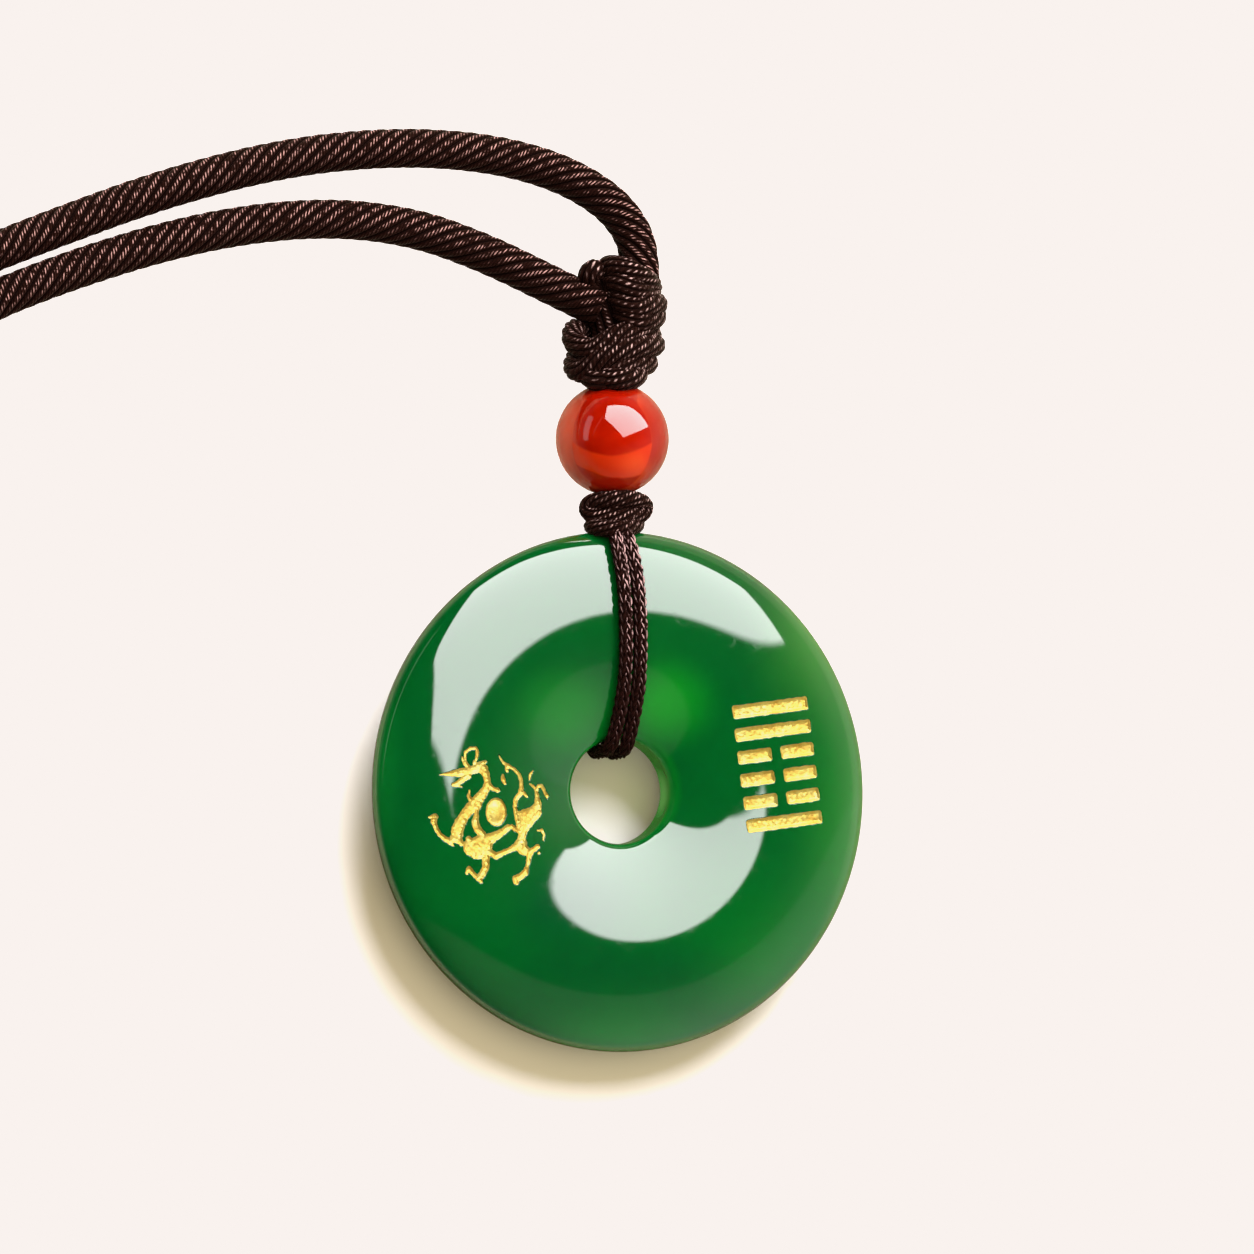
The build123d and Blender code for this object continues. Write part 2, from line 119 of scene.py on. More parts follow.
# The dragon: strokes on the ring's face, and the stroke's width at each place.
DRAGON = {  # name: rows of x, y, width
    "snout": [(-21.0, 1.0, .14), (-20.3, 1.1, .36), (-19.6, 1.2, .65), (-18.75, 1.3, .9), (-17.4, 1.65, .88), (-16.7, 1.9, 1.0), (-16.2, 1.77, 1.05)],
    "neck": [(-16.2, 1.77, 1.05), (-15.85, 1.1, .82), (-15.7, .4, .75), (-15.86, -.3, .88), (-16.3, -.95, 1.05), (-17.2, -2.0, 1.3), (-17.7, -2.55, 1.2), (-18.2, -3.15, 1.05)],
    "throat": [(-16.45, -1.2, .72), (-16.6, -2.0, .6), (-16.85, -2.7, .5), (-16.87, -3.2, .56)],
    "shoulder": [(-18.2, -3.15, 1.05), (-18.65, -3.95, 1.3), (-18.95, -4.75, 1.4), (-18.95, -5.5, 1.2), (-18.5, -6.1, .6)],
    "chest": [(-16.87, -3.2, .56), (-17.0, -3.8, .86), (-16.77, -4.5, .86), (-16.15, -5.1, .88)],
    "belly": [(-17.65, -5.7, .8), (-17.3, -6.45, 1.95), (-16.65, -6.55, 2.35), (-16.05, -6.1, 2.15), (-15.3, -5.55, 1.25), (-14.55, -5.15, .92), (-13.8, -4.7, .74), (-13.3, -4.28, .66), (-12.8, -4.16, .5), (-12.35, -4.5, .48), (-11.9, -4.6, .6)],
    "jaw": [(-17.95, 1.05, .84), (-18.5, .6, .66), (-19.0, .22, .5), (-19.5, .02, .46)],
    "jaw_tip": [(-19.15, -.03, .34), (-18.57, -.2, .17)],
    "crest_root": [(-17.8, 1.9, .42), (-18.3, 2.26, .38), (-18.56, 2.65, .27), (-18.6, 2.95, .18)],
    "crest": [(-17.9, 2.0, .3), (-18.2, 2.5, .3), (-18.3, 3.05, .28), (-18.25, 3.5, .34), (-17.7, 3.9, .34), (-17.1, 3.92, .38), (-16.88, 3.5, .4), (-17.0, 2.9, .32), (-17.25, 2.35, .4)],
    "ear": [(-16.9, 2.15, .6), (-16.45, 2.3, .6), (-16.0, 2.55, .34)],
    "barbel": [(-17.6, -1.45, .5), (-17.8, -1.13, .42), (-17.7, -.55, .2)],
    "spur": [(-15.55, .13, .6), (-15.05, -.25, .46), (-14.5, -.4, .52)],
    "arm_left": [(-19.1, -5.3, 1.1), (-19.6, -5.9, .66), (-20.2, -5.75, .58), (-20.9, -5.2, .52), (-21.3, -4.57, .48), (-21.55, -3.9, .64), (-21.45, -3.42, .76)],
    "arm_claw": [(-21.58, -3.38, .4), (-22.05, -3.5, .22)],
    "elbow": [(-19.8, -6.05, .44), (-19.36, -6.37, .22)],
    "leg_low": [(-15.8, -6.7, 1.2), (-15.7, -7.6, .9), (-15.7, -8.5, .82), (-16.05, -9.25, .74), (-16.4, -9.65, .82), (-16.2, -10.05, .46)],
    "leg_claw": [(-16.6, -9.65, .58), (-17.1, -9.2, .5), (-17.55, -8.75, .6), (-17.76, -9.14, .42)],
    "limb_mid": [(-15.8, -6.3, .94), (-15.15, -7.0, .66), (-14.57, -7.32, .74), (-13.8, -6.95, .58), (-13.0, -6.62, .56), (-12.34, -6.25, .8), (-11.8, -5.68, .9), (-11.6, -5.07, .86)],
    "flank": [(-11.6, -5.07, .86), (-11.45, -4.25, 1.2), (-11.15, -3.55, 1.62), (-10.7, -2.95, 1.7), (-10.05, -2.5, 1.45), (-9.77, -1.7, .92), (-9.85, -1.0, .58), (-10.0, -.28, .4), (-10.22, .06, .32), (-10.78, .4, .2)],
    "back": [(-11.9, -2.72, .5), (-11.4, -2.95, 1.3), (-10.83, -2.73, 1.2)],
    "claw_up": [(-10.0, -.18, .38), (-9.73, .22, .4), (-9.37, .28, .4), (-9.02, -.25, .4), (-8.71, -.74, .44), (-8.67, -1.05, .18)],
    "hip": [(-11.95, -6.2, 1.1), (-11.4, -6.58, 1.2), (-10.76, -6.8, .86), (-10.33, -6.54, .54), (-9.82, -6.17, .56)],
    "hip_up": [(-11.4, -6.28, .9), (-11.2, -5.56, .26)],
    "leg_right": [(-10.8, -6.9, .7), (-10.86, -7.6, .5), (-11.04, -8.33, .42), (-11.25, -8.94, .74), (-11.8, -9.4, .7), (-12.33, -9.63, .78), (-12.27, -9.93, .7)],
    "tail": [(-11.9, -4.5, .7), (-12.1, -3.7, .6), (-12.3, -2.9, .56), (-12.5, -2.1, .48), (-12.4, -1.27, .52), (-11.96, -.7, .58), (-11.76, -.14, .56), (-11.8, .66, .46), (-12.1, 1.36, .44), (-12.68, 1.89, .4), (-13.45, 2.24, .44), (-13.94, 2.5, .32), (-14.33, 3.0, .22), (-14.5, 3.34, .15)],
    "tail_nub": [(-13.55, 2.16, .44), (-13.52, 1.7, .4)],
    "tail_spur": [(-11.8, -.5, .56), (-11.42, -.63, .44), (-11.1, -.94, .3)],
}
FLAMES = {  # name: rows of x, y, width
    "flame_1": [(-13.96, 1.14, .38), (-13.93, .74, .52), (-13.72, .4, .38)],
    "flame_2": [(-10.44, 1.82, .16), (-10.8, 1.32, .34), (-10.85, .8, .2)],
    "flame_3": [(-9.76, -4.46, .22), (-9.26, -4.41, .34), (-9.04, -4.89, .3), (-9.12, -5.44, .2)],
    "flame_4": [(-9.68, -6.89, .32), (-9.63, -6.82, .3)],
}

# ---------------------------------------------------------------- camera
camera = bpy.data.objects.new("camera", bpy.data.cameras.new("camera"))
scene.collection.objects.link(camera)
scene.camera = camera
look = Vector((-math.tan(math.radians(20.0)), -math.tan(math.radians(6.5)), 1.0)).normalized()
aim = Vector((2.473, 3.136, 0.0)) * MM
right = Vector((0, 1, 0)).cross(look).normalized()
up = look.cross(right)
aim += right * 0.2 * MM
camera.matrix_world = Matrix.Translation(aim + look * 1.6) @ Matrix((right, up, look)).transposed().to_4x4()
camera.data.sensor_width = 36.0
camera.data.lens = 432.85
camera.data.clip_start, camera.data.clip_end = 0.05, 20.0


# ---------------------------------------------------------------- helpers
def world_y(rows):
    """Rows measured from the ring's centre, moved into the frame."""
    pts = np.array(rows, float)
    pts[:, 1] += RING_Y
    return pts


def mesh_object(name, points, quads=None, tris=None, normals=None, uv=None, smooth=True):
    """A mesh piece from arrays: points in mm, faces as index rows, uv as one row for each corner."""
    quads = np.zeros((0, 4), int) if quads is None else np.asarray(quads, int)
    tris = np.zeros((0, 3), int) if tris is None else np.asarray(tris, int)
    me = bpy.data.meshes.new(name)
    me.vertices.add(len(points))
    me.vertices.foreach_set("co", (np.asarray(points) * MM).astype(np.float32).ravel())
    corners = np.concatenate([quads.ravel(), tris.ravel()]).astype(np.int32)
    me.loops.add(len(corners))
    me.loops.foreach_set("vertex_index", corners)
    me.polygons.add(len(quads) + len(tris))
    starts = np.concatenate([np.arange(len(quads)) * 4, len(quads) * 4 + np.arange(len(tris)) * 3]).astype(np.int32)
    me.polygons.foreach_set("loop_start", starts)
    if uv is not None:
        layer = me.uv_layers.new(name="lay", do_init=False)
        layer.uv.foreach_set("vector", np.asarray(uv, np.float32).ravel())
    me.update(calc_edges=True)
    if smooth:
        me.shade_smooth()
    if normals is not None:
        me.normals_split_custom_set_from_vertices([tuple(n) for n in normals])
    ob = bpy.data.objects.new(name, me)
    scene.collection.objects.link(ob)
    return ob


def joined(parts):
    """Several (points, quads, tris, uv) as one."""
    pts, quads, tris, quv, tuv, at = [], [], [], [], [], 0
    for p, q, t, u in parts:
        pts.append(p)
        nq = 0 if q is None else len(q)
        if nq:
            quads.append(np.asarray(q) + at)
        if t is not None and len(t):
            tris.append(np.asarray(t) + at)
        if u is not None:
            u = np.asarray(u, float)
            quv.append(u[: nq * 4])
            tuv.append(u[nq * 4:])
        at += len(p)
    uv = np.concatenate(quv + tuv) if quv else None
    return np.concatenate(pts), np.concatenate(quads) if quads else None, np.concatenate(tris) if tris else None, uv


def unit(v):
    return v / np.maximum(np.linalg.norm(v, axis=-1, keepdims=True), 1e-12)


def smooth_step(x):
    x = np.clip(x, 0, 1)
    return x * x * (3 - 2 * x)


def resampled(line, places):
    """Points of a polyline at these distances along it."""
    along = np.concatenate([[0], np.cumsum(np.linalg.norm(np.diff(line, axis=0), axis=1))])
    return np.stack([np.interp(places, along, line[:, k]) for k in range(3)], 1)


def line_length(line):
    return float(np.linalg.norm(np.diff(line, axis=0), axis=1).sum())


def spline_line(route, fineness=24, closed=False):
    """The smooth line of a NURBS curve through these control points, in mm."""
    data = bpy.data.curves.new("line", "CURVE")
    data.dimensions = "3D"
    spline = data.splines.new("NURBS")
    spline.points.add(len(route) - 1)
    for p, at in zip(spline.points, route):
        p.co = (at[0] * MM, at[1] * MM, at[2] * MM, 1.0)
    spline.order_u = 3
    spline.use_endpoint_u = not closed
    spline.use_cyclic_u = closed
    spline.resolution_u = fineness
    data.resolution_u = fineness
    holder = bpy.data.objects.new("line", data)
    scene.collection.objects.link(holder)
    bpy.context.view_layer.update()
    made = bpy.data.meshes.new_from_object(holder)
    pts = np.array([v.co[:] for v in made.vertices]) / MM
    bpy.data.objects.remove(holder)
    bpy.data.meshes.remove(made)
    bpy.data.curves.remove(data)
    return pts


def side_frames(line, closed=False, first=None):
    """Tangents and two directions across the line, turning as little as they can along it."""
    if closed:
        tangent = unit(np.roll(line, -1, 0) - np.roll(line, 1, 0))
    else:
        tangent = unit(np.gradient(line, axis=0))
    a = np.array([0.0, 0.0, 1.0]) if first is None else np.asarray(first, float)
    if abs(tangent[0] @ a) > 0.95:
        a = np.array([1.0, 0.0, 0.0])
    across = np.zeros_like(line)
    for k, t in enumerate(tangent):
        a = a - t * (a @ t)
        a = a / np.linalg.norm(a)
        across[k] = a
    if closed:
        # spread what is left of the turn over the whole ring
        end = across[-1] - tangent[0] * (across[-1] @ tangent[0])
        end /= np.linalg.norm(end)
        off = math.atan2(np.cross(end, across[0]) @ tangent[0], end @ across[0])
        turn = off * np.arange(len(line)) / len(line)
        other = np.cross(tangent, across)
        across = across * np.cos(turn)[:, None] + other * np.sin(turn)[:, None]
    return tangent, across, np.cross(tangent, across)


def laid_tube(line, radius, yarns, angle, places=None, wide=1.0, per_yarn=6, closed=False, flat_side=None, depth=1.0, taper=None, first=None):
    """A cord laid from yarns that wind round its centre line: ridges between narrow valleys.
    angle is between a yarn and the cord, in degrees; wide flattens the section."""
    if places is None:
        places = np.linspace(0, line_length(line), int(line_length(line) / 0.3) + 2)
    if not closed:
        line = resampled(line, places)
    tangent, e1, e2 = side_frames(line, closed, first)
    n = len(line)
    small = math.pi * radius / (yarns + math.pi)
    share = np.array([0.0, 0.09, 0.27, 0.5, 0.73, 0.91])[:per_yarn] if per_yarn == 6 else np.arange(per_yarn) / per_yarn
    f = np.tile(share, yarns)
    yarn_no = np.repeat(np.arange(yarns), per_yarn)
    bump = small * np.sqrt(np.maximum(0.0, 1 - (0.95 * np.abs(2 * f - 1)) ** 2))
    reach = radius - depth * (small - bump)
    theta0 = 2 * math.pi * (yarn_no + f) / yarns
    step = np.concatenate([[0], np.cumsum(np.linalg.norm(np.diff(line, axis=0), axis=1))])
    if closed:
        total = step[-1] + np.linalg.norm(line[0] - line[-1])
        turns = max(1, round(total * math.tan(math.radians(abs(angle))) / (2 * math.pi * radius) * yarns)) / yarns
        wind = np.sign(angle) * 2 * math.pi * turns * step / total
    else:
        wind = step * math.tan(math.radians(angle)) / radius
    theta = theta0[None, :] + wind[:, None]
    size = np.ones(n) if taper is None else taper(step / step[-1])
    ring = reach[None, :] * size[:, None]
    pts = line[:, None, :] + e1[:, None, :] * (np.cos(theta) * ring * wide)[..., None] + e2[:, None, :] * (np.sin(theta) * ring)[..., None]
    m = yarns * per_yarn
    i = np.arange(n if closed else n - 1)[:, None]
    j = np.arange(m)[None, :]
    i1, j1 = (i + 1) % n, (j + 1) % m
    shift = 0
    if closed:
        shift = int(round(np.sign(angle) * turns * yarns)) * per_yarn
    quads = np.stack([i * m + j, i * m + j1, i1 * m + j1 + 0 * i, i1 * m + j + 0 * i], -1)
    if closed and shift:
        last = quads[-1]
        jj = (np.arange(m) - 0)
        a = jj + (n - 1) * m
        b = (jj + 1) % m + (n - 1) * m
        c = (jj + 1 + shift) % m
        d = (jj + shift) % m
        quads[-1] = np.stack([a, b, c, d], -1)
    quads = quads.reshape(-1, 4)
    slant = 1 / max(0.2, math.cos(math.radians(angle)))
    u = step * slant
    u1 = np.append(u[1:], u[-1] + (u[-1] - u[-2])) if closed else u[1:]
    u0 = u if closed else u[:-1]
    vcol = yarn_no + f
    vnext = np.append(vcol[1:], yarns)
    uv = np.stack([
        np.stack(np.broadcast_arrays(u0[:, None], vcol[None, :]), -1),
        np.stack(np.broadcast_arrays(u0[:, None], vnext[None, :]), -1),
        np.stack(np.broadcast_arrays(u1[:, None], vnext[None, :]), -1),
        np.stack(np.broadcast_arrays(u1[:, None], vcol[None, :]), -1),
    ], 2).reshape(-1, 2)
    pts = pts.reshape(-1, 3)
    tris = None
    if not closed:
        caps, tuv = [], []
        for row, away in ((0, 1), (n - 1, 0)):
            centre = len(pts)
            pts = np.vstack([pts, line[row]])
            a = row * m + np.arange(m)
            b = row * m + (np.arange(m) + 1) % m
            caps.append(np.stack([np.full(m, centre), b, a] if away else [np.full(m, centre), a, b], -1))
            tuv.append(np.zeros((m * 3, 2)))
        tris = np.concatenate(caps)
        uv = np.concatenate([uv] + tuv)
    return pts, quads, tris, uv


# ---------------------------------------------------------------- materials
def material(name):
    m = bpy.data.materials.new(name)
    m.use_nodes = True
    nodes, links = m.node_tree.nodes, m.node_tree.links
    nodes.clear()
    out = nodes.new("ShaderNodeOutputMaterial")
    shader = nodes.new("ShaderNodeBsdfPrincipled")
    links.new(shader.outputs[0], out.inputs["Surface"])
    return m, nodes, links, shader


def ramp(nodes, links, source, stops):
    r = nodes.new("ShaderNodeValToRGB")
    while len(r.color_ramp.elements) < len(stops):
        r.color_ramp.elements.new(0.5)
    for e, (at, colour) in zip(r.color_ramp.elements, stops):
        e.position = at
        e.color = (*colour, 1.0) if len(colour) == 3 else colour
    links.new(source, r.inputs[0])
    return r.outputs[0]


def noise(nodes, links, vector, scale, detail=3.0, rough=0.5, distortion=0.0):
    n = nodes.new("ShaderNodeTexNoise")
    n.inputs["Scale"].default_value = scale
    n.inputs["Detail"].default_value = detail
    n.inputs["Roughness"].default_value = rough
    n.inputs["Distortion"].default_value = distortion
    if vector is not None:
        links.new(vector, n.inputs["Vector"])
    return n.outputs["Fac"]


def maths(nodes, links, kind, *values, clamp=False):
    n = nodes.new("ShaderNodeMath")
    n.operation = kind
    n.use_clamp = clamp
    for k, v in enumerate(values):
        if isinstance(v, (int, float)):
            n.inputs[k].default_value = v
        else:
            links.new(v, n.inputs[k])
    return n.outputs[0]


def mixed(nodes, links, share, a, b, kind="MIX"):
    n = nodes.new("ShaderNodeMix")
    n.data_type = "RGBA"
    n.blend_type = kind
    for socket, v in ((n.inputs["Factor"], share), (n.inputs["A"], a), (n.inputs["B"], b)):
        if isinstance(v, (int, float)):
            socket.default_value = v
        elif isinstance(v, tuple):
            socket.default_value = (*v, 1.0)
        else:
            links.new(v, socket)
    return n.outputs["Result"]


def place(nodes):
    return nodes.new("ShaderNodeTexCoord").outputs["Object"]


def mapped(nodes, links, vector, location=(0, 0, 0), rotation=(0, 0, 0), scale=(1, 1, 1)):
    n = nodes.new("ShaderNodeMapping")
    n.inputs["Location"].default_value = location
    n.inputs["Rotation"].default_value = rotation
    n.inputs["Scale"].default_value = scale
    links.new(vector, n.inputs["Vector"])
    return n.outputs[0]


def bumped(nodes, links, shader, height, distance, strength=1.0):
    b = nodes.new("ShaderNodeBump")
    b.inputs["Strength"].default_value = strength
    b.inputs["Distance"].default_value = distance
    links.new(height, b.inputs["Height"])
    links.new(b.outputs[0], shader.inputs["Normal"])
    return b


def painted_light_spot(nodes, links, at, centre, size):
    """1 at a point of the stone, falling to 0 at size (mm) from it: the mask of a patch of painted light and shade."""
    d = nodes.new("ShaderNodeVectorMath")
    d.operation = "SUBTRACT"
    links.new(at, d.inputs[0])
    d.inputs[1].default_value = [c * MM for c in centre]
    s = nodes.new("ShaderNodeVectorMath")
    s.operation = "DIVIDE"
    links.new(d.outputs[0], s.inputs[0])
    s.inputs[1].default_value = [c * MM for c in size]
    l = nodes.new("ShaderNodeVectorMath")
    l.operation = "LENGTH"
    links.new(s.outputs[0], l.inputs[0])
    m = nodes.new("ShaderNodeMapRange")
    m.interpolation_type = "SMOOTHERSTEP"
    links.new(l.outputs["Value"], m.inputs["Value"])
    m.inputs["From Min"].default_value = 1.0
    m.inputs["From Max"].default_value = 0.0
    return m.outputs[0]


def green_agate():
    m, nodes, links, shader = material("green_agate")
    at = place(nodes)
    cloudy = noise(nodes, links, mapped(nodes, links, at, scale=(1, 1, 1.6)), 42, 4, 0.55, 0.6)
    fine = noise(nodes, links, at, 260, 3, 0.5)
    base = ramp(nodes, links, cloudy, [
        (0.30, (0.0005, 0.104, 0.016)),
        (0.50, (0.0007, 0.122, 0.017)),
        (0.72, (0.0012, 0.142, 0.018)),
    ])
    # painted light and shade in the base colour: brighter patches where light comes through the stone, round its hole
    # and along its thin edge, with a painted reflection along its lower edge; the darker patches are painted shade, and
    # the last spot paints light onto the hole's shaded far wall
    for centre, size, share, painted_tint in (
        ((4.2, RING_Y + 9.4, 4.5), (8.2, 6.8, 14.0), 0.90, (0.006, 0.350, 0.016)),
        ((-6.8, RING_Y + 8.0, 4.5), (9.5, 7.4, 14.0), 0.80, (0.003, 0.260, 0.016)),
        ((26.0, RING_Y - 3.0, 4.0), (10.0, 26.0, 14.0), 0.80, (0.003, 0.225, 0.008)),
        ((18.0, RING_Y - 17.0, 4.0), (16.0, 13.0, 14.0), 0.60, (0.001, 0.200, 0.015)),
        ((0.0, RING_Y - 28.5, 4.0), (24.0, 7.5, 14.0), 0.75, (0.001, 0.225, 0.020)),
        ((1.0, RING_Y - 19.0, 4.0), (17.0, 5.5, 14.0), 0.55, (0.0003, 0.070, 0.016)),
        ((22.0, RING_Y + 17.0, 4.0), (12.0, 15.0, 14.0), 0.70, (0.045, 0.270, 0.025)),
        ((-6.0, RING_Y - 12.0, 4.0), (11.0, 7.0, 14.0), 0.55, (0.0004, 0.072, 0.024)),
        ((-28.0, RING_Y + 2.0, 4.0), (4.5, 22.0, 14.0), 0.70, (0.004, 0.230, 0.030)),
        ((6.0, RING_Y + 0.8, 3.2), (1.7, 7.2, 2.7), 1.00, (0.420, 0.900, 0.300)),
    ):
        spot = painted_light_spot(nodes, links, at, centre, size)
        base = mixed(nodes, links, maths(nodes, links, "MULTIPLY", spot, share), base, painted_tint)
    # painted light: a paler lip round the hole, most on its far right, where light comes through the thin stone
    parts = nodes.new("ShaderNodeSeparateXYZ")
    links.new(at, parts.inputs[0])
    off = maths(nodes, links, "ADD", parts.outputs[1], -RING_Y * MM)
    radial = maths(nodes, links, "SQRT", maths(nodes, links, "ADD", maths(nodes, links, "MULTIPLY", parts.outputs[0], parts.outputs[0]), maths(nodes, links, "MULTIPLY", off, off)))
    lip = ramp(nodes, links, maths(nodes, links, "MULTIPLY", radial, 100.0), [(0.62, (1.0,) * 3), (0.68, (0.0,) * 3)])
    side = ramp(nodes, links, maths(nodes, links, "ADD", maths(nodes, links, "MULTIPLY", parts.outputs[0], 100.0), maths(nodes, links, "MULTIPLY", off, 60.0)), [(0.0, (0.15,) * 3), (0.55, (1.0,) * 3)])
    base = mixed(nodes, links, maths(nodes, links, "MULTIPLY", lip, maths(nodes, links, "MULTIPLY", side, 0.7)), base, (0.002, 0.180, 0.014))
    base = mixed(nodes, links, maths(nodes, links, "MULTIPLY", fine, 0.08), base, (0.0012, 0.10, 0.02))
    links.new(base, shader.inputs["Base Color"])
    shader.inputs["Subsurface Weight"].default_value = 0.35
    shader.inputs["Subsurface Radius"].default_value = (0.15, 1.0, 0.3)
    shader.inputs["Subsurface Scale"].default_value = 0.004
    shader.inputs["IOR"].default_value = 1.75
    shader.inputs["Specular IOR Level"].default_value = 1.0
    wear = ramp(nodes, links, noise(nodes, links, at, 900, 2, 0.6), [(0.55, (0.035,) * 3), (0.85, (0.10,) * 3)])
    links.new(wear, shader.inputs["Roughness"])
    bumped(nodes, links, shader, noise(nodes, links, at, 55, 2, 0.4), 0.00003, 0.25)
    return m


def red_agate():
    """Clear red agate with painted light and shade in its colour: a darker core round the bore, where the bore shows
    through the clear stone, so it is paler towards its skin; the skin painted darker on its right and paler on its
    left, a painted orange glow low down, and painted dark patches where the knots show in it.
    """
    m, nodes, links, shader = material("red_agate")
    at = place(nodes)
    cloudy = noise(nodes, links, at, 160, 4, 0.55, 0.8)
    wavy = maths(nodes, links, "MULTIPLY_ADD", noise(nodes, links, at, 130, 2, 0.5), 0.0010, -0.0005)

    def measure(direction):
        dot = nodes.new("ShaderNodeVectorMath")
        dot.operation = "DOT_PRODUCT"
        links.new(at, dot.inputs[0])
        dot.inputs[1].default_value = direction
        middle = sum(c * MM * d for c, d in zip((BEAD[0], BEAD[1] + RING_Y, BEAD[2]), direction))
        return maths(nodes, links, "ADD", maths(nodes, links, "SUBTRACT", dot.outputs["Value"], middle), wavy)

    def zone(value, low, high):
        n = nodes.new("ShaderNodeMapRange")
        n.interpolation_type = "SMOOTHSTEP"
        links.new(value, n.inputs["Value"])
        n.inputs["From Min"].default_value = low * MM
        n.inputs["From Max"].default_value = high * MM
        return n.outputs[0]

    across, high = measure((0.940, 0.0, 0.342)), measure((-0.036, 0.994, 0.099))
    bow = maths(nodes, links, "MULTIPLY", maths(nodes, links, "MULTIPLY", across, across), 75.0)
    level = maths(nodes, links, "SUBTRACT", high, bow)
    away = maths(nodes, links, "SQRT", maths(nodes, links, "ADD", maths(nodes, links, "POWER", maths(nodes, links, "ABSOLUTE", maths(nodes, links, "MULTIPLY", across, 1.28)), 2.0), maths(nodes, links, "POWER", maths(nodes, links, "ABSOLUTE", high), 2.0)))
    # painted shade: the core round the bore is darker, where the bore shows through the clear stone
    core = zone(away, 5.55, 5.30)
    base = ramp(nodes, links, cloudy, [
        (0.30, (0.58, 0.038, 0.010)),
        (0.52, (0.62, 0.048, 0.014)),
        (0.72, (0.70, 0.062, 0.018)),
    ])
    painted_core_shade = ramp(nodes, links, cloudy, [
        (0.30, (0.40, 0.0070, 0.0005)),
        (0.52, (0.46, 0.0090, 0.0006)),
        (0.72, (0.54, 0.0140, 0.0010)),
    ])
    base = mixed(nodes, links, core, base, painted_core_shade)
    # painted shade: the skin is darker on its right
    base = mixed(nodes, links, maths(nodes, links, "MULTIPLY", zone(across, 1.5, 5.2), maths(nodes, links, "SUBTRACT", 1.0, core)), base, (0.44, 0.011, 0.0020))
    # painted light: the skin is paler and more orange on its left
    base = mixed(nodes, links, maths(nodes, links, "MULTIPLY", zone(across, -3.4, -5.2), 0.8), base, (0.95, 0.125, 0.055))
    # painted light: orange low down in the core, where light comes through the stone
    lower = maths(nodes, links, "MULTIPLY", zone(level, -1.55, -1.95), core)
    base = mixed(nodes, links, maths(nodes, links, "MULTIPLY", lower, 0.9), base, (0.78, 0.042, 0.004))
    # painted glow: a bright orange spot low down, where light comes through the stone
    warm = painted_light_spot(nodes, links, at, (BEAD[0] + 0.6, BEAD[1] + RING_Y - 3.1, 7.0), (3.3, 2.4, 9.0))
    base = mixed(nodes, links, maths(nodes, links, "MULTIPLY", warm, 0.85), base, (1.0, 0.105, 0.010))
    # painted reflection: dark red patches at its top and bottom, where the knots show in the stone
    sag = maths(nodes, links, "ADD", level, maths(nodes, links, "MULTIPLY", across, 0.12))
    ends = maths(nodes, links, "MAXIMUM", maths(nodes, links, "MULTIPLY", zone(sag, -4.00, -4.25), core), maths(nodes, links, "MULTIPLY", zone(high, 3.60, 3.95), zone(maths(nodes, links, "ABSOLUTE", across), 3.0, 2.7)))
    base = mixed(nodes, links, maths(nodes, links, "MULTIPLY", ends, 0.85), base, (0.46, 0.0075, 0.0005))
    links.new(base, shader.inputs["Base Color"])
    shader.inputs["Subsurface Weight"].default_value = 0.6
    shader.inputs["Subsurface Radius"].default_value = (1.0, 0.40, 0.12)
    shader.inputs["Subsurface Scale"].default_value = 0.005
    shader.inputs["IOR"].default_value = 1.75
    shader.inputs["Specular IOR Level"].default_value = 0.26
    wear = ramp(nodes, links, noise(nodes, links, at, 1500, 2, 0.6), [(0.55, (0.03,) * 3), (0.85, (0.08,) * 3)])
    links.new(wear, shader.inputs["Roughness"])
    bumped(nodes, links, shader, noise(nodes, links, at, 260, 2, 0.4), 0.00002, 0.25)
    return m


def gilding():
    m, nodes, links, shader = material("gilding")
    at = place(nodes)
    grain = noise(nodes, links, at, 3200, 3, 0.6)
    patchy = noise(nodes, links, at, 700, 3, 0.55)
    base = ramp(nodes, links, patchy, [
        (0.30, (0.84, 0.50, 0.075)),
        (0.50, (0.94, 0.66, 0.125)),
        (0.70, (1.0, 0.81, 0.22)),
    ])
    links.new(base, shader.inputs["Base Color"])
    shader.inputs["Metallic"].default_value = 0.75
    links.new(ramp(nodes, links, grain, [(0.3, (0.30,) * 3), (0.7, (0.52,) * 3)]), shader.inputs["Roughness"])
    both = maths(nodes, links, "ADD", grain, maths(nodes, links, "MULTIPLY", patchy, 1.6))
    bumped(nodes, links, shader, both, 0.00005, 0.8)
    return m


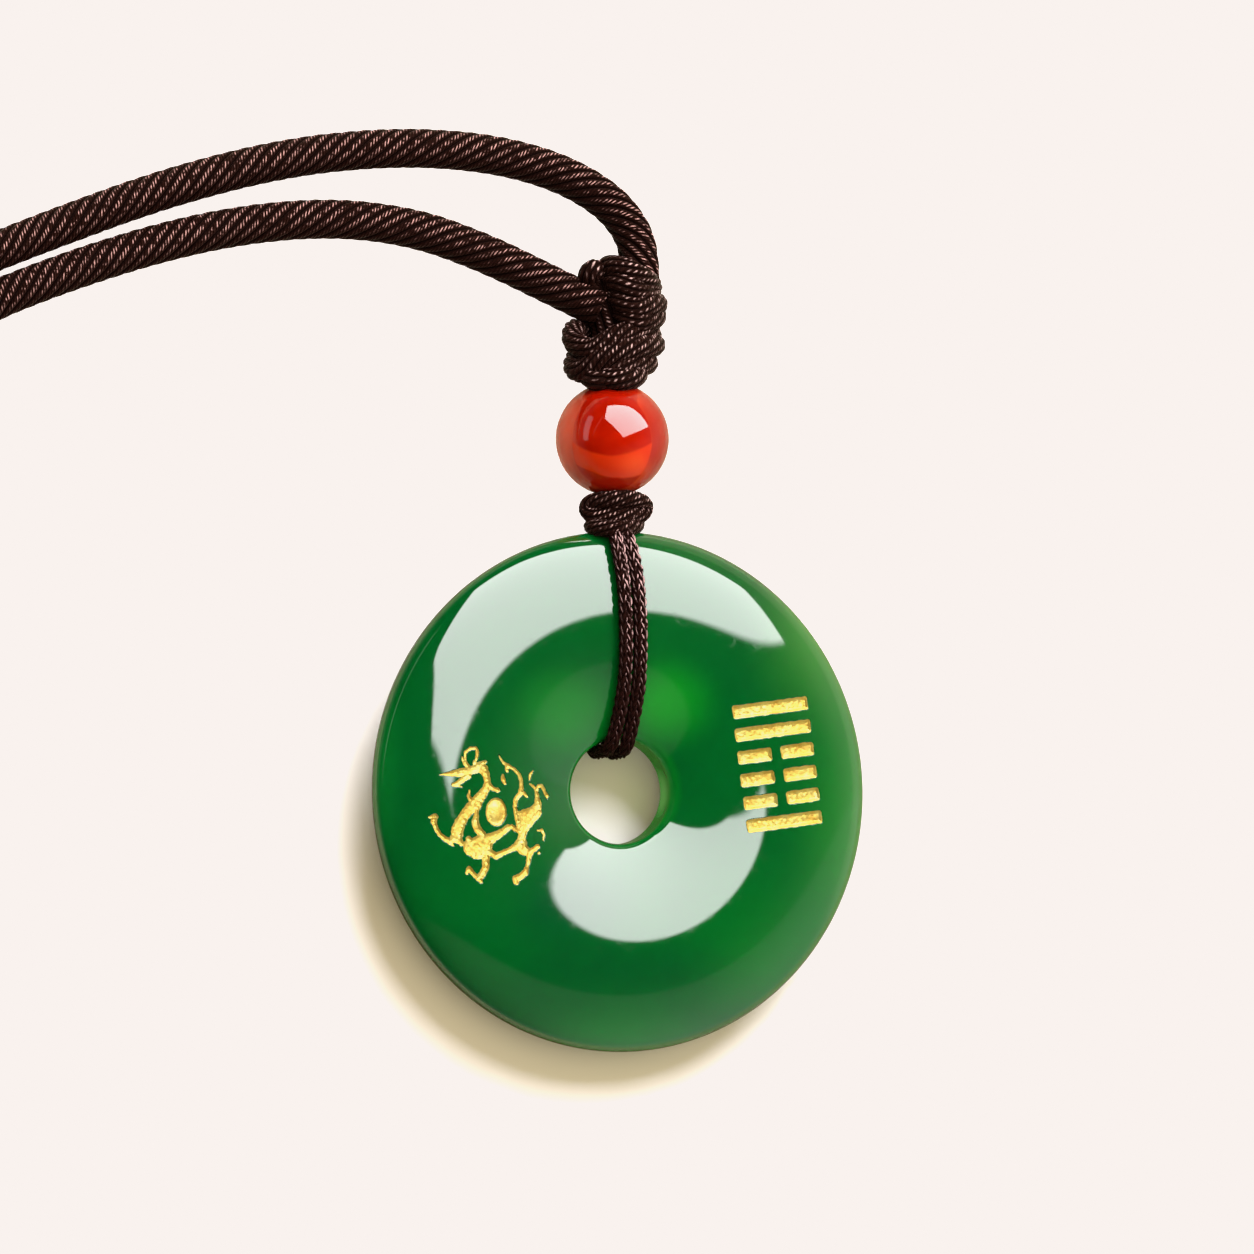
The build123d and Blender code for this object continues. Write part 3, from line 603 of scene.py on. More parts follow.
def cord_yarn(name, twist, lean, shade_between_yarns, body, painted_glint, depth, rough, dashes=(0.62, 0.88), kept=(0.40, 0.58), row=(0.50, 0.80), turned=(0.30, 0.85), dimmed=None):
    """Silky brown yarn, painted almost black between the yarns as shade. Each is plied from finer threads, with painted
    glints in the base colour where they turn up to the light.
    """
    m, nodes, links, shader = material(name)
    at = place(nodes)
    lay = nodes.new("ShaderNodeUVMap")
    lay.uv_map = "lay"
    split = nodes.new("ShaderNodeSeparateXYZ")
    links.new(lay.outputs[0], split.inputs[0])
    along, over = split.outputs[0], split.outputs[1]
    share = maths(nodes, links, "FRACT", over)
    height = maths(nodes, links, "SUBTRACT", 1.0, maths(nodes, links, "ABSOLUTE", maths(nodes, links, "MULTIPLY_ADD", share, 2.0, -1.0)))
    crest = ramp(nodes, links, height, [(0.12, (0.0,) * 3), (0.60, (1.0,) * 3)])
    middle = ramp(nodes, links, height, [(row[0], (0.0,) * 3), (row[1], (1.0,) * 3)])
    wander = maths(nodes, links, "MULTIPLY", noise(nodes, links, at, 480, 2, 0.5), 1.3)
    phase = maths(nodes, links, "ADD", maths(nodes, links, "DIVIDE", along, twist), maths(nodes, links, "MULTIPLY", share, lean))
    phase = maths(nodes, links, "ADD", phase, wander)
    wave = maths(nodes, links, "MULTIPLY_ADD", maths(nodes, links, "SINE", maths(nodes, links, "MULTIPLY", phase, 2 * math.pi)), 0.5, 0.5)
    ply = ramp(nodes, links, wave, [(dashes[0], (0.0,) * 3), (dashes[1], (1.0,) * 3)])
    part = ramp(nodes, links, noise(nodes, links, at, 1500, 2, 0.5), [(kept[0], (0.0,) * 3), (kept[1], (1.0,) * 3)])
    # painted highlight: the glints show only where the yarn faces the key light's fixed direction
    facing = nodes.new("ShaderNodeVectorMath")
    facing.operation = "DOT_PRODUCT"
    links.new(nodes.new("ShaderNodeNewGeometry").outputs["Normal"], facing.inputs[0])
    facing.inputs[1].default_value = (0.24, 0.50, 0.83)
    lit = ramp(nodes, links, facing.outputs["Value"], [(turned[0], (0.0,) * 3), (turned[1], (1.0,) * 3)])
    # painted shade: almost black between the yarns and darker between the plies
    base = mixed(nodes, links, maths(nodes, links, "MULTIPLY", crest, maths(nodes, links, "MULTIPLY_ADD", wave, 0.6, 0.4)), shade_between_yarns, body)
    painted_glint_mask = maths(nodes, links, "MULTIPLY", maths(nodes, links, "MULTIPLY", middle, ply), maths(nodes, links, "MULTIPLY", part, lit))
    if dimmed:  # painted: from one y to another, in mm, the painted glints fade where the cord turns away from the light
        parts = nodes.new("ShaderNodeSeparateXYZ")
        links.new(at, parts.inputs[0])
        rising = ramp(nodes, links, maths(nodes, links, "MULTIPLY_ADD", parts.outputs[1], 1 / ((dimmed[1] - dimmed[0]) * MM), -dimmed[0] / (dimmed[1] - dimmed[0])), [(0.0, (0.16,) * 3), (1.0, (1.0,) * 3)])
        painted_glint_mask = maths(nodes, links, "MULTIPLY", painted_glint_mask, rising)
    # painted glints: the highlight colour laid into the base colour
    base = mixed(nodes, links, painted_glint_mask, base, painted_glint)
    links.new(base, shader.inputs["Base Color"])
    fibre = noise(nodes, links, mapped(nodes, links, lay.outputs[0], scale=(1.0, 9.0, 1.0)), 8.0, 2, 0.6)
    rise = maths(nodes, links, "ADD", maths(nodes, links, "MULTIPLY", wave, crest), maths(nodes, links, "MULTIPLY", fibre, 0.3))
    shader.inputs["Roughness"].default_value = rough
    shader.inputs["IOR"].default_value = 1.5
    shader.inputs["Specular IOR Level"].default_value = 0.05
    shader.inputs["Specular Tint"].default_value = (1.0, 0.60, 0.52, 1.0)
    shader.inputs["Sheen Weight"].default_value = 0.05
    shader.inputs["Sheen Tint"].default_value = (1.0, 0.42, 0.32, 1.0)
    bumped(nodes, links, shader, rise, depth, 1.0)
    return m


def clasp_finish():
    m, nodes, links, shader = material("clasp_finish")
    at = place(nodes)
    base = ramp(nodes, links, noise(nodes, links, at, 500, 3, 0.5), [(0.3, (0.030, 0.013, 0.010)), (0.7, (0.050, 0.022, 0.017))])
    links.new(base, shader.inputs["Base Color"])
    links.new(ramp(nodes, links, noise(nodes, links, at, 900, 2, 0.5), [(0.3, (0.24,) * 3), (0.7, (0.36,) * 3)]), shader.inputs["Roughness"])
    bumped(nodes, links, shader, noise(nodes, links, at, 1400, 2, 0.5), 0.00002, 0.5)
    return m


def floor_finish():
    m, nodes, links, shader = material("floor")
    at = place(nodes)
    base = ramp(nodes, links, noise(nodes, links, at, 60, 2, 0.5), [(0.3, (0.895, 0.895, 0.895)), (0.7, (0.905, 0.905, 0.905))])
    # the floor is lit past white, and gives the pieces only part of that light back
    path = nodes.new("ShaderNodeLightPath")
    seen = maths(nodes, links, "MULTIPLY_ADD", path.outputs["Is Camera Ray"], 0.64, 0.36)
    base = mixed(nodes, links, seen, (0.0, 0.0, 0.0), base)
    base = mixed(nodes, links, path.outputs["Is Glossy Ray"], base, (0.300, 0.280, 0.200))
    links.new(base, shader.inputs["Base Color"])
    shader.inputs["Roughness"].default_value = 0.9
    shader.inputs["Specular IOR Level"].default_value = 0.1
    return m


GREEN, RED, GOLD, CLASP_SKIN = green_agate(), red_agate(), gilding(), clasp_finish()
# each yarn: twist, lean, painted shade between the yarns, body colour, painted glint colour, bump depth, roughness
NECK_YARN = cord_yarn("neck_yarn", 0.52, 1.1, (0.0026, 0.0007, 0.0005), (0.0205, 0.0058, 0.0040), (0.92, 0.49, 0.45), 0.00012, 0.36, dashes=(0.66, 0.90), kept=(0.42, 0.55), row=(0.50, 0.76))
KNOT_YARN = cord_yarn("knot_yarn", 0.50, 0.9, (0.0028, 0.0008, 0.0006), (0.0215, 0.0060, 0.0042), (0.98, 0.62, 0.59), 0.00012, 0.32, kept=(0.44, 0.57))
THIN_YARN = cord_yarn("thin_yarn", 0.9, 0.8, (0.0018, 0.0005, 0.0005), (0.0190, 0.0056, 0.0044), (0.98, 0.600, 0.600), 0.00004, 0.30, dashes=(-1.0, -0.5), kept=(0.40, 0.54), row=(0.52, 0.84), turned=(0.80, 0.93), dimmed=(RING_Y + 10.0, RING_Y + 17.5))


def finish(ob, mat, slot, *nodes):
    ob.data.materials.clear()
    ob.data.materials.append(mat)
    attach(ob, "root")
    if nodes:
        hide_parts(*nodes)
    return ob


# ---------------------------------------------------------------- floor and light
size = 2.0
floor = mesh_object("floor", np.array([(-size, -size, 0), (size, -size, 0), (size, size, 0), (-size, size, 0)]) / MM, quads=[(0, 1, 2, 3)], smooth=False)
floor.data.materials.append(floor_finish())


# The key light is one large softbox with eight straight sides, above the ring's far right.
KEY_C = unit(np.array([0.23857589, 0.49550376, 0.83519912]))
KEY_A = unit(np.cross([0.0, 1.0, 0.0], KEY_C))
KEY_B = np.cross(KEY_C, KEY_A)
KEY_FAR = 900.0
KEY_SIDES = [(-111.8, 527.0), (-51.2, 412.0), (-9.4, 424.0), (52.5, 322.0), (73.3, 500.0), (181.9, 555.0), (200.0, 525.0), (218.5, 477.0)]  # which way each side faces, how far off it is
GLINT_SIDES = [(148.5, 850.0), (63.9, 560.0), (45.5, 525.0), (-64.9, 378.0), (212.8, 500.0)]  # the same for its image in the bead
KEY_SOFT = 16.0          # width of its soft edge
KEY_POWER = 4.45


def soft_box(name, sides, wide, power):
    """A square area light; its own texture leaves only the shape inside the sides."""
    light = bpy.data.lights.new(name, "AREA")
    light.shape = "SQUARE"
    light.size = wide * MM
    light.energy = power * math.pi * light.size**2
    light.use_nodes = True
    nodes, links = light.node_tree.nodes, light.node_tree.links
    nodes.clear()
    out, lamp = nodes.new("ShaderNodeOutputLight"), nodes.new("ShaderNodeEmission")
    links.new(lamp.outputs[0], out.inputs[0])
    split = nodes.new("ShaderNodeSeparateXYZ")
    links.new(nodes.new("ShaderNodeNewGeometry").outputs["Parametric"], split.inputs[0])
    u = maths(nodes, links, "MULTIPLY_ADD", split.outputs[0], wide, -wide / 2)
    v = maths(nodes, links, "MULTIPLY_ADD", split.outputs[1], wide, -wide / 2)
    inside = None
    for angle, off in sides:
        c, s = math.cos(math.radians(angle)), math.sin(math.radians(angle))
        past = maths(nodes, links, "ADD", maths(nodes, links, "MULTIPLY", u, c), maths(nodes, links, "MULTIPLY_ADD", v, s, -off))
        share = maths(nodes, links, "MULTIPLY_ADD", past, -1 / KEY_SOFT, 0.5, clamp=True)
        inside = share if inside is None else maths(nodes, links, "MULTIPLY", inside, share)
    # a little brighter towards its far right
    level = maths(nodes, links, "ADD", maths(nodes, links, "MULTIPLY", u, 0.11 / 500), maths(nodes, links, "MULTIPLY_ADD", v, 0.18 / 500, 1.0))
    links.new(maths(nodes, links, "MULTIPLY", inside, level), lamp.inputs["Strength"])
    ob = bpy.data.objects.new(name, light)
    scene.collection.objects.link(ob)
    centre = KEY_C * KEY_FAR + np.array([0, RING_Y, 0])
    ob.matrix_world = Matrix.Translation(Vector(centre) * MM) @ Matrix((Vector(KEY_A), Vector(KEY_B), Vector(KEY_C))).transposed().to_4x4()
    return ob


key = soft_box("key", KEY_SIDES, 1560.0, KEY_POWER)
# The bead takes the same light, but its polish shows it wider and brighter.
key_in_bead = soft_box("key_in_bead", KEY_SIDES, 1560.0, KEY_POWER)
key_in_bead.visible_glossy = False
key_on_bead = soft_box("key_on_bead", GLINT_SIDES, 1900.0, KEY_POWER * 2.95)
key_on_bead.visible_diffuse = False
key_on_bead.location -= Vector(KEY_C) * 5 * MM
side_on_bead = bpy.data.objects.new("side_on_bead", bpy.data.lights.new("side_on_bead", "AREA"))
side_on_bead.data.shape = "RECTANGLE"
side_on_bead.data.size, side_on_bead.data.size_y = 0.82, 0.22
side_on_bead.data.energy = 1.7 * math.pi * 0.82 * 0.22
side_way = Vector((-0.93, 0.28, 0.26)).normalized()
side_on_bead.matrix_world = Matrix.Translation(side_way + Vector((0.0, 22.0, 6.0)) * MM) @ side_way.to_track_quat("Z", "Y").to_matrix().to_4x4()
side_on_bead.visible_diffuse = False
scene.collection.objects.link(side_on_bead)

# Warm light from all over the ceiling fills the shadows. It is too dim and even to show in the stone.
fill = bpy.data.objects.new("fill", bpy.data.lights.new("fill", "AREA"))
fill.data.shape = "SQUARE"
fill.data.size = 3.0
fill.data.energy = 1.0 * math.pi * 9.0
fill.data.color = (1.0, 0.88, 0.70)
fill.matrix_world = Matrix.Translation(Vector((0.0, 0.0, 1.9)))
fill.visible_glossy = False
scene.collection.objects.link(fill)

# The floor has its own two lights, a low broad one from the far right and a warm ceiling. Only the ring shades it.
low_light = bpy.data.objects.new("low_light", bpy.data.lights.new("low_light", "AREA"))
low_light.data.shape = "DISK"
low_light.data.size = 0.88
low_light.data.energy = 17.0 * math.pi * math.pi * 0.44**2
low_light.data.color = (0.99, 0.94, 1.0)
low_way = Vector((math.cos(math.radians(26)) * math.cos(math.radians(70)), math.cos(math.radians(26)) * math.sin(math.radians(70)), math.sin(math.radians(26))))
low_light.matrix_world = Matrix.Translation(low_way * 0.9 + Vector((0.0, RING_Y, 0.0)) * MM) @ low_way.to_track_quat("Z", "Y").to_matrix().to_4x4()
ceiling = bpy.data.objects.new("ceiling", bpy.data.lights.new("ceiling", "AREA"))
ceiling.data.shape = "SQUARE"
ceiling.data.size = 6.0
ceiling.data.energy = 0.78 * math.pi * 36.0
ceiling.data.color = (1.0, 0.80, 0.44)
ceiling.matrix_world = Matrix.Translation(Vector((0.0, 0.0, 1.5)))
only_floor, only_ring, not_floor = (bpy.data.collections.new(n) for n in ("floor_lit", "floor_shaded_by", "pieces_lit"))
only_bead = bpy.data.collections.new("bead_lit")
for lamp in (key_in_bead, key_on_bead, side_on_bead):
    lamp.light_linking.receiver_collection = only_bead
only_floor.objects.link(floor)
not_floor.objects.link(floor)
not_floor.collection_objects[0].light_linking.link_state = "EXCLUDE"
for lamp in (low_light, ceiling):
    scene.collection.objects.link(lamp)
    lamp.visible_glossy = False
    lamp.light_linking.receiver_collection = only_floor
    lamp.light_linking.blocker_collection = only_ring
fill.light_linking.receiver_collection = not_floor
neither = bpy.data.collections.new("key_lit")
neither.objects.link(floor)
neither.collection_objects[0].light_linking.link_state = "EXCLUDE"
key.light_linking.receiver_collection = neither

# The room: dark above, a dim wall to the south, a brighter one to the south-east, a window low in the north-east.
world = bpy.data.worlds.new("studio")
scene.world = world
world.use_nodes = True
wn, wl = world.node_tree.nodes, world.node_tree.links
wn.clear()
split = wn.new("ShaderNodeSeparateXYZ")
wl.new(wn.new("ShaderNodeTexCoord").outputs["Generated"], split.inputs[0])
dx, dy, dz = split.outputs


def across(a, b, c=0.0):
    return maths(wn, wl, "ADD", maths(wn, wl, "MULTIPLY", dx, a), maths(wn, wl, "MULTIPLY_ADD", dy, b, maths(wn, wl, "MULTIPLY", dz, c)))


def eased(value, low, high):
    n = wn.new("ShaderNodeMapRange")
    n.interpolation_type = "SMOOTHSTEP"
    wl.new(value, n.inputs["Value"])
    n.inputs["From Min"].default_value = low
    n.inputs["From Max"].default_value = high
    return n.outputs[0]


def product(*values):
    total = values[0]
    for v in values[1:]:
        total = maths(wn, wl, "MULTIPLY", total, v)
    return total


toward_south = across(0.357, -0.934)
south = product(eased(toward_south, 0.30, 0.34), maths(wn, wl, "MULTIPLY_ADD", maths(wn, wl, "SUBTRACT", toward_south, 0.3), 0.10, 0.08), eased(dx, -0.75, 0.25))
south_east = product(eased(across(0.906, -0.423), 0.25, 0.95), 0.24)
horizon = product(eased(dz, 0.30, 0.0), maths(wn, wl, "MULTIPLY_ADD", eased(dx, 0.0, -0.9), 0.07, 0.10))
strip = product(eased(maths(wn, wl, "ABSOLUTE", across(0.46, -0.349, 0.816)), 0.030, 0.012), eased(dx, -0.47, -0.56), eased(dy, -0.05, 0.2), 0.5)
window = product(eased(across(0.84, 0.54), 0.50, 0.86), maths(wn, wl, "MULTIPLY_ADD", eased(dz, 0.43, 0.34), 0.24, 0.16))
room = maths(wn, wl, "ADD", maths(wn, wl, "ADD", south, south_east), maths(wn, wl, "ADD", horizon, maths(wn, wl, "ADD", strip, 0.004)))
grey, warm, both, wout = wn.new("ShaderNodeBackground"), wn.new("ShaderNodeBackground"), wn.new("ShaderNodeAddShader"), wn.new("ShaderNodeOutputWorld")
grey.inputs["Color"].default_value = (1.0, 1.0, 0.96, 1.0)
warm.inputs["Color"].default_value = (1.0, 0.92, 0.62, 1.0)
wl.new(room, grey.inputs["Strength"])
wl.new(window, warm.inputs["Strength"])
wl.new(grey.outputs[0], both.inputs[0])
wl.new(warm.outputs[0], both.inputs[1])
wl.new(both.outputs[0], wout.inputs[0])

# white comes out as the photograph's warm white, and nothing brighter
scene.use_nodes = True
picture = scene.node_tree
picture.nodes.clear()
layers, darker, shown = (picture.nodes.new(n) for n in ("CompositorNodeRLayers", "CompositorNodeMixRGB", "CompositorNodeComposite"))
darker.blend_type = "DARKEN"
darker.inputs[0].default_value = 1.0
darker.inputs[2].default_value = (0.947, 0.887, 0.855, 1.0)
picture.links.new(layers.outputs["Image"], darker.inputs[1])
picture.links.new(darker.outputs[0], shown.inputs[0])

scene.view_settings.view_transform = "Standard"
scene.view_settings.look = "None"
scene.view_settings.exposure = 0.0


# ---------------------------------------------------------------- neck cord
neck_line = spline_line(world_y(NECK_ROUTE), 32)
neck_total = line_length(neck_line)
fine, coarse, seen = 0.30, 0.85, 78.0
places = np.concatenate([np.arange(0, seen, fine), np.arange(seen, neck_total - seen, coarse), np.arange(neck_total - seen, neck_total, fine), [neck_total]])
pts, quads, tris, uv = laid_tube(neck_line, NECK_R, 10, -38.0, places, depth=0.85)
pts[:, 2] = np.maximum(pts[:, 2], 0.02)
neck = finish(mesh_object("neck_cord_laid", pts, quads, tris, uv=uv), NECK_YARN, "brown_cord", "neck_cord")
clasp_node = bpy.data.objects["clasp"] if "clasp" in bpy.data.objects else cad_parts["clasp"]
clasp_node.data.materials.clear()
clasp_node.data.materials.append(CLASP_SKIN)

# ---------------------------------------------------------------- the ring's shape
def face_z(r):
    u = np.clip((r - CROWN_R) / (RING_R - CROWN_R), 0, 1)
    t = np.clip((CROWN_R - r) / (CROWN_R - HOLE_LIP_R), 0, None)
    return np.where(r <= CROWN_R, CROWN_UP - (CROWN_UP - HOLE_FACE) * t**DISH_POWER, RIM_UP + (CROWN_UP - RIM_UP) * np.sqrt(1 - u**RIM_POWER))


def back_z(r):
    u = np.clip((r - CROWN_R) / (RING_R - CROWN_R), 0, 1)
    t = np.clip((CROWN_R - r) / (CROWN_R - HOLE_LIP_R), 0, None)
    return np.where(r <= CROWN_R, -CROWN_DOWN + (CROWN_DOWN - HOLE_BACK) * t**2, RIM_UP - (CROWN_DOWN + RIM_UP) * np.sqrt(1 - u**RIM_POWER))


def tilted(p):
    """From the ring's own frame into the object's."""
    c, s = math.cos(RING_TILT), math.sin(RING_TILT)
    return np.stack([p[..., 0], p[..., 1] * c - p[..., 2] * s, p[..., 1] * s + p[..., 2] * c], -1)


def on_ring(p):
    return tilted(p) + np.array([0, RING_Y, RING_Z])


def ripple(x, y, scale, seed, terms=14):
    """Soft unevenness between about -1 and 1, the same each time."""
    rng = np.random.default_rng(seed)
    total = np.zeros_like(x)
    for _ in range(terms):
        a, k, ph = rng.uniform(0, 2 * math.pi), rng.uniform(0.5, 1.6) * 2 * math.pi / scale, rng.uniform(0, 2 * math.pi)
        total = total + np.sin(k * (x * math.cos(a) + y * math.sin(a)) + ph)
    return total / math.sqrt(terms) / 1.2


def stroke_distance(x, y, rows):
    best = np.full(x.shape, 1e9)
    for (ax, ay, aw), (bx, by, bw) in zip(rows, rows[1:]):
        dx, dy = bx - ax, by - ay
        t = np.clip(((x - ax) * dx + (y - ay) * dy) / (dx * dx + dy * dy), 0, 1)
        best = np.minimum(best, np.hypot(x - ax - t * dx, y - ay - t * dy) - (aw + t * (bw - aw)) / 2)
    return best


def drawn_distance(x, y, strokes, wavy=0.03):
    """Signed distance to a group of strokes, which run softly into each other; a hand-cut edge is a little uneven."""
    best = stroke_distance(x, y, strokes[0])
    for rows in strokes[1:]:
        other = stroke_distance(x, y, rows)
        h = np.maximum(0.13 - np.abs(best - other), 0) / 0.13
        best = np.minimum(best, other) - h * h * 0.13 / 4
    return best + wavy * ripple(x, y, 0.55, 7)


def bar_distance(x, y, at_x, at_y, long):
    c, s = math.cos(math.radians(BARS_TURN)), math.sin(math.radians(BARS_TURN))
    u, v = c * (x - at_x) + s * (y - at_y), -s * (x - at_x) + c * (y - at_y)
    qx, qy = np.abs(u) - long / 2 + BAR_CORNER, np.abs(v) - BAR_HIGH / 2 + BAR_CORNER
    d = np.hypot(np.maximum(qx, 0), np.maximum(qy, 0)) + np.minimum(np.maximum(qx, qy), 0) - BAR_CORNER
    return d + 0.028 * ripple(x, y, 0.8, 11)


FIGURES = {}
for _name, _rows in {"gilt_dragon": list(DRAGON.values()), **{"gilt_" + k: [v] for k, v in FLAMES.items()}}.items():
    _all = [r for s in _rows for r in s]
    FIGURES[_name] = (
        lambda x, y, rows=_rows: drawn_distance(x, y, rows),
        (min(r[0] - r[2] for r in _all), max(r[0] + r[2] for r in _all), min(r[1] - r[2] for r in _all), max(r[1] + r[2] for r in _all)),
    )
FIGURES["gilt_pearl"] = (
    lambda x, y: (np.hypot((x - PEARL_AT[0]) / PEARL_HALF[0], (y - PEARL_AT[1]) / PEARL_HALF[1]) - 1) * 1.33 + 0.02 * ripple(x, y, 0.7, 5),
    (PEARL_AT[0] - 1.6, PEARL_AT[0] + 1.6, PEARL_AT[1] - 1.9, PEARL_AT[1] + 1.9),
)
for _row, _line in enumerate(BAR_LINES):
    _up = (2.5 - _row) * BAR_PITCH
    _half = (BAR_LONG - BAR_SPLIT) / 2
    _pieces = {f"gilt_bar_{_row + 1}": (0.0, BAR_LONG)} if _line == "whole" else {
        f"gilt_bar_{_row + 1}_left": (-(_half + BAR_SPLIT) / 2, _half),
        f"gilt_bar_{_row + 1}_right": ((_half + BAR_SPLIT) / 2, _half),
    }
    for _name, (_x, _long) in _pieces.items():
        _c, _s = math.cos(math.radians(BARS_TURN)), math.sin(math.radians(BARS_TURN))
        _cx, _cy = BARS_AT[0] + _c * _x - _s * _up, BARS_AT[1] + _s * _x + _c * _up
        FIGURES[_name] = (
            lambda x, y, a=_cx, b=_cy, long=_long: bar_distance(x, y, a, b, long),
            (_cx - _long / 2 - 0.6, _cx + _long / 2 + 0.6, _cy - 1.8, _cy + 1.8),
        )


def level_loops(field, bounds, levels, step):
    """Closed outlines of a field at several levels. The grid's cells are two triangles each, so outlines never cross."""
    x0, x1, y0, y1 = bounds[0] - 0.25, bounds[1] + 0.25, bounds[2] - 0.25, bounds[3] + 0.25
    nx, ny = int((x1 - x0) / step) + 2, int((y1 - y0) / step) + 2
    gx, gy = np.meshgrid(x0 + np.arange(nx) * step, y0 + np.arange(ny) * step, indexing="ij")
    value = field(gx, gy)
    made = []
    for level in levels:
        v = value - level
        v = np.where(np.abs(v) < 1e-6, 1e-6, v)
        neg = v < 0
        cell = neg[:-1, :-1].astype(int) + neg[1:, :-1] + neg[:-1, 1:] + neg[1:, 1:]
        links = {}
        for i, j in np.argwhere((cell > 0) & (cell < 4)):
            for tri in (((i, j), (i + 1, j), (i + 1, j + 1)), ((i, j), (i + 1, j + 1), (i, j + 1))):
                signs = [neg[p] for p in tri]
                if all(signs) or not any(signs):
                    continue
                ends = []
                for a, b in ((tri[0], tri[1]), (tri[1], tri[2]), (tri[2], tri[0])):
                    if neg[a] != neg[b]:
                        ends.append(tuple(sorted((a, b))))
                links.setdefault(ends[0], []).append(ends[1])
                links.setdefault(ends[1], []).append(ends[0])
        loops = []
        while links:
            start = next(iter(links))
            loop, here, last = [start], start, None
            while True:
                ahead = [e for e in links[here] if e != last]
                if not ahead or ahead[0] == start:
                    break
                loop.append(ahead[0])
                last, here = here, ahead[0]
            for e in loop:
                links.pop(e, None)
            pts = []
            for a, b in loop:
                t = v[a] / (v[a] - v[b])
                pts.append((x0 + (a[0] + t * (b[0] - a[0])) * step, y0 + (a[1] + t * (b[1] - a[1])) * step))
            pts = np.array(pts)
            keep = [0]
            for k in range(1, len(pts)):
                if np.hypot(*(pts[k] - pts[keep[-1]])) > 0.3 * step:
                    keep.append(k)
            pts = pts[keep]
            if len(pts) > 5:
                loops.append(pts)
        made.append(loops)
    return made


def enclosed(loop):
    x, y = loop[:, 0], loop[:, 1]
    return 0.5 * abs(float(np.sum(x * np.roll(y, -1) - np.roll(x, -1) * y)))


def triangulated(loops, extra):
    """Triangles over closed loops and loose points. Returns points, triangles and each loop's indices."""
    pts, edges, spans = [], [], []
    for loop in loops:
        at = len(pts)
        pts += [Vector(p) for p in loop]
        n = len(loop)
        edges += [(at + k, at + (k + 1) % n) for k in range(n)]
        spans.append((at, n))
    pts += [Vector(p) for p in extra]
    co, _, faces, orig, _, _ = delaunay_2d_cdt(pts, edges, [], 0, 1e-6)
    co = np.array([tuple(c) for c in co])
    back = {}
    for k, group in enumerate(orig):
        for o in group:
            back[o] = k
    faces = np.array([f[:] for f in faces if len(f) == 3])
    a, b, c = co[faces[:, 0]], co[faces[:, 1]], co[faces[:, 2]]
    flip = ((b - a)[:, 0] * (c - a)[:, 1] - (b - a)[:, 1] * (c - a)[:, 0]) < 0
    faces[flip] = faces[flip][:, ::-1]
    return co, faces, [[back[at + k] for k in range(n)] for at, n in spans]


LIP, LIP_DROP, CUT_DEPTH = 0.055, 0.03, 0.45


